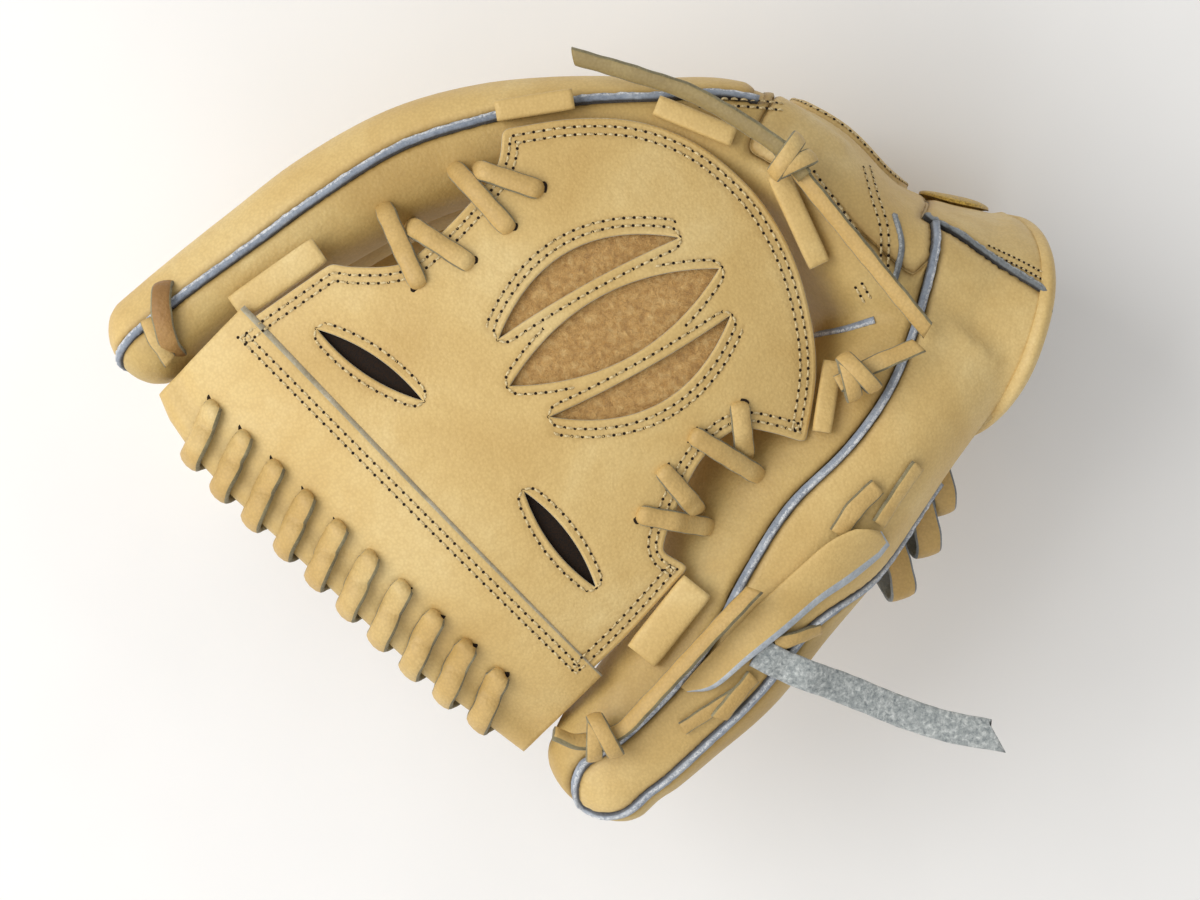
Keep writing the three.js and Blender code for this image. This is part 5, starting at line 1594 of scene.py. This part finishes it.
def add_rim_lace():
    clear = GAP + 0.55 + LACE["thick"] / 2
    path, sides, shares = [], [], []
    holes = Mesh()

    def slope(s, tilt):
        return [*RIM_ALONG, (fold_height(s + 3) - fold_height(s - 3)) / 6 + tilt]

    for i in range(TURNS):
        start = FIRST_HOLE + PITCH * i
        under = rim_point(start, hole_reach(start), 0)
        under[2] = fold_height(start) - 2 * FOLD - clear - 0.6
        top = np.array(rim_height(start, hole_reach(start)))
        # Painted shade in the lace hole's mouth.
        painted_shade_slot(holes, top - [*RIM_OUT, 0.0], UPRIGHT, [*RIM_ALONG, 0.0], 3.1, 1.8)
        path += [under, top + [0, 0, clear - 4.5], top + [*(RIM_OUT * 0.3), clear - 0.9]]
        sides += [slope(start, 0), slope(start, 0.1), slope(start, RIM_LACE_TILT)]
        shares += [0.62, 0.5, 0.6]
        for ahead, share, lift in ((0.9, 0.84, 0.35), (2.2, 1.0, 0.9)):
            at = start + PITCH * 0.04 * ahead
            path.append(np.array(rim_height(at, hole_reach(start) + ahead)) + [0, 0, clear + lift])
            sides.append(slope(at, RIM_LACE_TILT))
            shares.append(share)
        for share, degrees, lift in RIM_TURN:
            turn = math.radians(degrees)
            at = start + PITCH * share
            radius = FOLD + clear + lift
            p = rim_point(at, rim_reach(at) - FOLD + radius * math.cos(turn), 0)
            p[2] = fold_height(at) - FOLD + radius * math.sin(turn)
            path.append(p)
            sides.append(slope(at, RIM_LACE_TILT * max(0.0, math.sin(turn))))
            shares.append(1.0)
    add_strip("rim_lace_turns", ["rim_lace"], path, -np.array(sides), 7.7, 2.6, wobble=0.04, shares=shares,
              profile=ROUND_PROFILE)
    make_piece("rim_lace_hole_shades", holes, ["hole"], ())


add_rim()
add_rim_lace()


# Short laces between the stalls and the web: the end on the stall and the end on the web, in plan.
STALL_LACES = {
    "index_lace_1": (-65.6, 73.8, -54.3, 49.5),
    "index_lace_2": (-58.2, 68.3, -39, 55.8),
    "index_lace_3": (-44.5, 85.6, -27.3, 66.3),
    "index_lace_4": (-38, 84.7, -18, 78),
    "thumb_lace_1": (43.9, -2.5, 42, 13.5),
    "thumb_lace_2": (48.5, -8, 27.9, 4.5),
    "thumb_lace_3": (30, -19, 18.9, -6),
    "thumb_lace_4": (33.5, -23.5, 12, -19.5),
}


def level_side(a, b):
    """A level direction square to the plan line from a to b, so that side x along points up."""
    d = np.array([a[1] - b[1], b[0] - a[0], 0.0])
    return -d / np.linalg.norm(d)


STALL_LACE_TILT = (0.12, -0.14)


def add_stall_laces():
    holes = Mesh()
    for name, (sx, sy, wx, wy) in STALL_LACES.items():
        stall, web = skin_height(sx, sy), float(web_height(wx, wy))
        clear = 0.15 + LACE["thick"] / 2
        t = np.array([0.09, 0.2, 0.34, 0.48, 0.62, 0.76, 0.88, 0.96])
        plan = np.array([sx, sy]) + np.outer(t, [wx - sx, wy - sy])
        outside = np.where(inside(plan, WEB_LOOP), 0, distance_to(plan, WEB_LOOP))
        over_web = web_height(plan[:, 0], plan[:, 1]) + clear + 0.25 - 1.1 * np.maximum(outside - 2, 0)
        straight = stall + (web - stall) * t + clear + 2.4 * np.sin(np.pi * t)
        high = np.maximum(over_web, straight)
        path = [[sx, sy, stall - 4.2], [sx, sy, stall - 0.6], *np.column_stack([plan, high]).tolist()]
        path += [[wx, wy, web - 0.7], [wx, wy, web - 5.5]]
        shares = [0.7, 0.85, 1, 1, 1, 1, 1, 1, 1, 0.97, 0.8, 0.7]
        side = level_side((sx, sy), (wx, wy)) + [0, 0, STALL_LACE_TILT[int(name[-1]) % 2]]
        add_strip(f"{name}_strip", [name], path, side, 6.2, 2.2, wobble=0.04, shares=shares,
                  profile=ROUND_PROFILE)
        away = np.array([wx - sx, wy - sy, 0.0])
        mouth = np.array([wx, wy, web]) + unit(away) * 0.5
        # Painted shade in the hole's mouth on the web.
        painted_shade_slot(holes, mouth, UPRIGHT, [-away[1], away[0], 0], 3.0, 1.5)
    make_piece("web_lace_hole_shades", holes, ["hole"], ())


add_stall_laces()


# Rolled leather tabs beside the web's edge: both ends in plan, width and lift.
TABS = [
    (-110, 42.6, -84.5, 60.4, 9, 0), (-31.5, 102.2, -8, 106, 6.5, 1.6), (17, 104.2, 40.5, 94.5, 6.5, 0),
    (53.5, 83.5, 66.5, 56, 7, 0.3), (70.5, 27, 67, 5.5, 6, 0), (29.5, -41, 12.5, -62.5, 11, 0),
]
TAB_THICK = 4.6


def add_tabs():
    for k, (x1, y1, x2, y2, width, lift) in enumerate(TABS):
        side = level_side((x1, y1), (x2, y2))
        ends = np.array([[x1, y1], [(x1 + x2) / 2, (y1 + y2) / 2], [x2, y2]])
        heights = []
        for x, y in ends:
            over = [skin_height(x + side[0] * width * t, y + side[1] * width * t) for t in (-0.5, 0, 0.5)]
            heights.append(max(*over, float(web_height(x, y)) - LEATHER - TAB_THICK))
        line = np.column_stack([ends, np.array(heights) + GAP + lift + TAB_THICK / 2])
        line = resample(line, 1.5)
        rings = []
        for i, p in enumerate(line):
            nearness = min(i, len(line) - 1 - i) / (len(line) - 1)
            size = 1 - 0.05 * math.exp(-(nearness * 14) ** 2)
            ring = []
            for turn in np.radians(np.arange(0, 360, 15)):
                c, s = math.cos(turn), math.sin(turn)
                a = math.copysign(abs(c) ** 0.45, c) * width / 2 * size
                b = math.copysign(abs(s) ** 0.6, s) * TAB_THICK / 2 * size
                ring.append(p + side * a + UPRIGHT * b)
            rings.append(ring)
        mesh = Mesh()
        mesh.grid(np.array(rings), around=True, caps=1)
        make_piece(f"web_tab_{k + 1}_roll", mesh, ["leather", "cut_edge"], [f"web_tab_{k + 1}"])


add_tabs()


# Knots and loose lace ends.
# The half sizes of a knot's loops, and then each knot's place and the direction of its lace in degrees.
KNOT = {"wide": 6.0, "high": 4.4}
KNOTS = {
    "knot_crotch": (57, 87, 148.5, 130),
    "knot_heel": (76.5, 22.5, 145.6, 29),
    "knot_thumb": (0, -86.8, 136.2, 14),
}
TAILS = {
    "tail_crotch_long": [
        [61.5, 82, 149.7], [53, 91.4, 149.7], [30, 106, 147], [11, 113, 144.5], [-8, 118.7, 142.5],
    ],
    "tail_crotch_short": [
        [53.5, 91.5, 147.1], [61, 82, 147.1], [74, 66, 146.5], [88, 49, 144.5], [99, 36, 140.5],
    ],
    "tail_heel": [[71.5, 19.8, 145.6], [81, 25, 145.6], [89, 28.5, 144.6], [96, 31.5, 143.5]],
    "tail_thumb": [
        [-14, -85.5, 138], [-6, -88.3, 136.2], [5.5, -85.4, 136.2], [14, -77, 139.5], [25, -65, 142.5],
        [36, -53, 144.5], [46.5, -42, 145.5],
    ],
}
TAIL = {"width": 5.4, "thick": 2.3}


def add_knots():
    for name, (x, y, z, degrees) in KNOTS.items():
        turn = math.radians(degrees)
        axis = np.array([math.cos(turn), math.sin(turn), 0])
        across = np.array([-axis[1], axis[0], 0])
        a = np.radians(np.arange(0, 360, 15))[:, None]
        mesh = Mesh()
        for lean, shift, grow in ((0.28, -1.6, 0.0), (-0.3, 1.6, 0.5)):
            path = [x, y, z] + axis * (shift + lean * KNOT["wide"] * np.cos(a))
            path += across * (KNOT["wide"] + grow) * np.cos(a)
            path += UPRIGHT * (KNOT["high"] + grow) * np.sin(a)
            strip(mesh, path, -axis, 5.2, 2.0, closed=True)
        make_piece(f"{name}_wrap", mesh, LACE_MATERIALS, [name])


TAIL_TILT = {"tail_crotch_long": 0.55, "tail_crotch_short": -0.5, "tail_heel": 0.2, "tail_thumb": 0.5}


def add_tails():
    """Loose lace ends, each a flat strip of TAIL's width."""
    for name, path in TAILS.items():
        side = level_side(path[0], path[-1]) + np.array([0, 0, TAIL_TILT[name]])
        materials = ["tail" if name == "tail_crotch_long" else "lace", "lace_edge"]
        piece, centre = add_strip(f"{name}_strip", [name], path, side, TAIL["width"], TAIL["thick"],
                                  materials=materials, wobble=0.05, slant=1.2)


add_knots()
add_tails()


# Strips that lie on the skin: points in plan with their lift off it, and the width.
LYING = {
    "thumb_tail_1": ([[72, -25.5, 0.6], [77, -18, 0.8], [84, -11, 0.6]], 6),
    "thumb_tail_2": ([[84.5, -22.5, 0.8], [91, -12.5, 1], [96.5, -4.6, 0.8]], 5),
    "thumb_tie": ([[25, -84.6, 0.6], [33.5, -79, 0.6], [42, -73.4, 0.6]], 4.4),
}
LOOSE_ENDS = {
    "thumb_loop": ([[53, -58.8, 0.2], [59.5, -57, 1.5], [67, -54.4, 0.0]], 4.6),
    "index_tip_end": ([[-137, 39.5, 0.0], [-134.6, 33.5, 1.3], [-130.4, 27, 0.6]], 4.6),
    "thumb_frayed_end": ([[46.5, -68.6, 0.6], [41.6, -74.4, 2.2], [36.2, -81.2, 1.8]], 5.2),
}
TONGUE = [[47.5, -61.2, 0.7], [52, -63.6, 1.5], [57, -66, 3.2]]
TONGUE_TAIL = [
    [63.5, -68.6, 133], [70, -71, 128.5], [78, -74.2, 124.5], [93.3, -80.5, 119.5], [106.8, -84.8, 117.5],
    [121.5, -87.6, 116],
]
TONGUE_WIDTH = 9.5
LYING_THICK = 1.9


def lying(points, width):
    """A path on the skin, its width's directions, and the level one."""
    level = level_side(points[0], points[-1])
    path, sides = [], []
    for x, y, lift in points:
        a, b, c = (skin_height(x + level[0] * width * t, y + level[1] * width * t) for t in (-0.5, 0, 0.5))
        path.append([x, y, max(b, (a + c) / 2) + lift + LYING_THICK / 2])
        sides.append([level[0] * width, level[1] * width, c - a])
    return path, [list(unit(np.array(s))) for s in sides], level


def add_lying():
    for name, (points, width) in LYING.items():
        path, sides, _ = lying(points, width)
        add_strip(f"{name}_strip", [name], path, sides, width, LYING_THICK, wobble=0.06)
    for name, (points, width) in LOOSE_ENDS.items():
        path, sides, _ = lying(points, width)
        add_strip(name, (), path, sides, width, LYING_THICK, wobble=0.1, slant=0.8)
    path, sides, level = lying(TONGUE, TONGUE_WIDTH)
    path += TONGUE_TAIL
    sides += [list(level)] * len(TONGUE_TAIL)
    add_strip("tongue_strip", ["tongue"], path, sides, TONGUE_WIDTH, LYING_THICK, slot="raw_edge",
              materials=["tongue", "raw_edge"], slant=4.0, kinds=[0] * 12, wobble=0.02)


add_lying()


# Laces through the finger tips, loops at the heel.
TIP_LACES = {
    "tip_lace_1": [[-122.6, 33.6, 113], [-116.5, 33, 94]],
    "tip_lace_2": [[-114, 32, 80], [-99.5, 21, 60]],
    "tip_lace_3": [[-102, 23, 46], [-90, 9.5, 26]],
}
INDEX_TIP = [
    [-131.5, 50.5, -5], [-132.5, 49.6, 3.5], [-132.6, 42.5, 4.7], [-130.6, 33, 3.4], [-127.8, 27.5, -4],
]
# Each loop's root and its far end in plan, and its width.
HEEL_LOOPS = [(91.5, -31.5, 96, -44.6, 8), (100, -18.5, 103.8, -31.5, 8), (105.5, -8.5, 108.6, -18.6, 7.5)]
HEEL_HEIGHT = 94
HEEL_HALF = 6.5
HEEL_SLANT = 4.5


def add_tip_laces():
    for name, path in TIP_LACES.items():
        add_strip(f"{name}_strip", [name], path, [-0.75, -0.66, 0])
    path = [[x, y, skin_height(x, y) + lift] for x, y, lift in INDEX_TIP]
    add_strip("tip_lace_index_strip", ["tip_lace_index"], path, [-1, -0.15, 0], 6.2, 2.0, slot="suede",
              materials=["tip_lace", "lace_edge"], wobble=0.05)


def add_heel_loops():
    for k, (rx, ry, ex, ey, width) in enumerate(HEEL_LOOPS):
        out = np.array([ex - rx, ey - ry])
        side = unit(np.array([out[1], -out[0], 0.0]))
        path = []
        for a in np.radians(np.linspace(100, -100, 15)):
            reach, aside = math.cos(a), HEEL_SLANT * (1 - math.sin(a)) / 2
            height = HEEL_HEIGHT + HEEL_HALF * math.sin(a)
            path.append([rx + out[0] * reach, ry + out[1] * reach, height] + side * aside)
        name = f"heel_loop_{k + 1}"
        add_strip(f"{name}_strip", [name], path, side, width, materials=["lace", "dark_edge"], wobble=0.04)


add_tip_laces()
add_heel_loops()


# The thumb's cover and the oval patch on the strap.
# COVER's rows have its two edges: for each the place in plan and the lift off the skin.
COVER = [
    [24.5, -71.8, 1.2, 26.5, -73.4, 1.2], [30.3, -65.1, 0.7, 34.8, -72.1, 2],
    [40.9, -53.9, 0.7, 45.1, -63.6, 3.2], [50, -44.8, 0.7, 56, -55.1, 3.2],
    [60.6, -35.1, 0.8, 66.6, -46.3, 1.2], [69, -27.9, 3, 75.7, -40.3, 1],
    [76.3, -24.2, 4, 82.4, -35.1, 1.4], [79.3, -23.9, 4.2, 86.2, -31.8, 1.8],
    [80.3, -23.9, 4.3, 88.2, -29.0, 2.2], [81.1, -23.9, 4.3, 87.6, -26.4, 2.8],
    [81.8, -24.0, 4.2, 85.4, -24.7, 3.4],
]
COVER_THICK = 1.8
COVER_SHARES = [0.0, 0.03, 0.1, 0.25, 0.4, 0.55, 0.7, 0.84, 0.91, 0.96, 1.0]


def add_cover():
    rings = []
    for row in resample(COVER, 1.5):
        top, bottom = [], []
        for t in COVER_SHARES:
            x, y, lift = row[:3] + (row[3:] - row[:3]) * t
            z = skin_height(x, y) + lift
            ease = 0.5 * math.exp(-t / 0.04) + 1.1 * smooth_step((t - 0.88) / 0.12)
            top.append([x, y, z + COVER_THICK - ease])
            bottom.append([x, y, z])
        rings.append(top + bottom[::-1])
    count = len(COVER_SHARES)
    kinds = [1] * (count + 3) + [0] * (count - 3)
    mesh = Mesh()
    mesh.grid(np.array(rings)[:, ::-1], kinds, around=True, caps=1)
    make_piece("thumb_cover_leather", mesh, ["leather", "pale_edge"], ["thumb_cover"])


OVAL_MIDDLE = (112, 66)
OVAL_HALF = (11, 22)


def add_patch():
    rings = []
    for share in np.linspace(0, 1, 12):
        radius = math.sin(share * math.pi / 2)
        lift = 0.8 + 2.4 * math.cos(share * math.pi / 2) ** 0.6
        ring = []
        for turn in np.radians(np.arange(0, 360, 6)):
            x = OVAL_MIDDLE[0] + OVAL_HALF[0] * radius * math.sin(turn)
            z = OVAL_MIDDLE[1] + OVAL_HALF[1] * radius * math.cos(turn)
            hit, _ = skin_ray((x, 200, z), (0, -1, 0))
            ring.append([hit[0], hit[1] + lift, hit[2]])
        rings.append(ring)
    mesh = Mesh()
    mesh.grid(np.array(rings), around=True)
    make_piece("strap_oval", mesh, ["gold"], ["strap_patch"])


add_cover()
add_patch()


# Floor, light and world, in metres.
FLOOR_HALF = 3.0
AIM = Vector((0, 0, 0.08))


def add_stage():
    data = bpy.data.meshes.new("floor")
    corners = [(FLOOR_HALF * x, FLOOR_HALF * y, 0) for x, y in ((-1, -1), (1, -1), (1, 1), (-1, 1))]
    data.from_pydata(corners, [], [(0, 1, 2, 3)])
    data.materials.append(floor_material())
    floor = bpy.data.objects.new("floor", data)
    bpy.context.scene.collection.objects.link(floor)


LIGHTS = {
    "key": {"place": (-1.12, 0.22, 1.32), "size": 1.6, "power": 20},
    "fill": {"place": (-0.45, -1.15, 1.15), "size": 1.6, "power": 6.0},
}


def add_lights():
    for name, spec in LIGHTS.items():
        data = bpy.data.lights.new(name, "AREA")
        data.shape = "DISK"
        data.size = spec["size"]
        data.energy = spec["power"]
        light = bpy.data.objects.new(name, data)
        light.location = spec["place"]
        light.rotation_euler = (AIM - Vector(spec["place"])).to_track_quat("-Z", "Y").to_euler()
        bpy.context.scene.collection.objects.link(light)
    world = bpy.data.worlds.new("studio")
    world.use_nodes = True
    background = world.node_tree.nodes["Background"]
    background.inputs["Color"].default_value = (1, 1, 1, 1)
    background.inputs["Strength"].default_value = 0.5
    bpy.context.scene.world = world
    bpy.context.scene.view_settings.view_transform = "Standard"


add_stage()
add_lights()
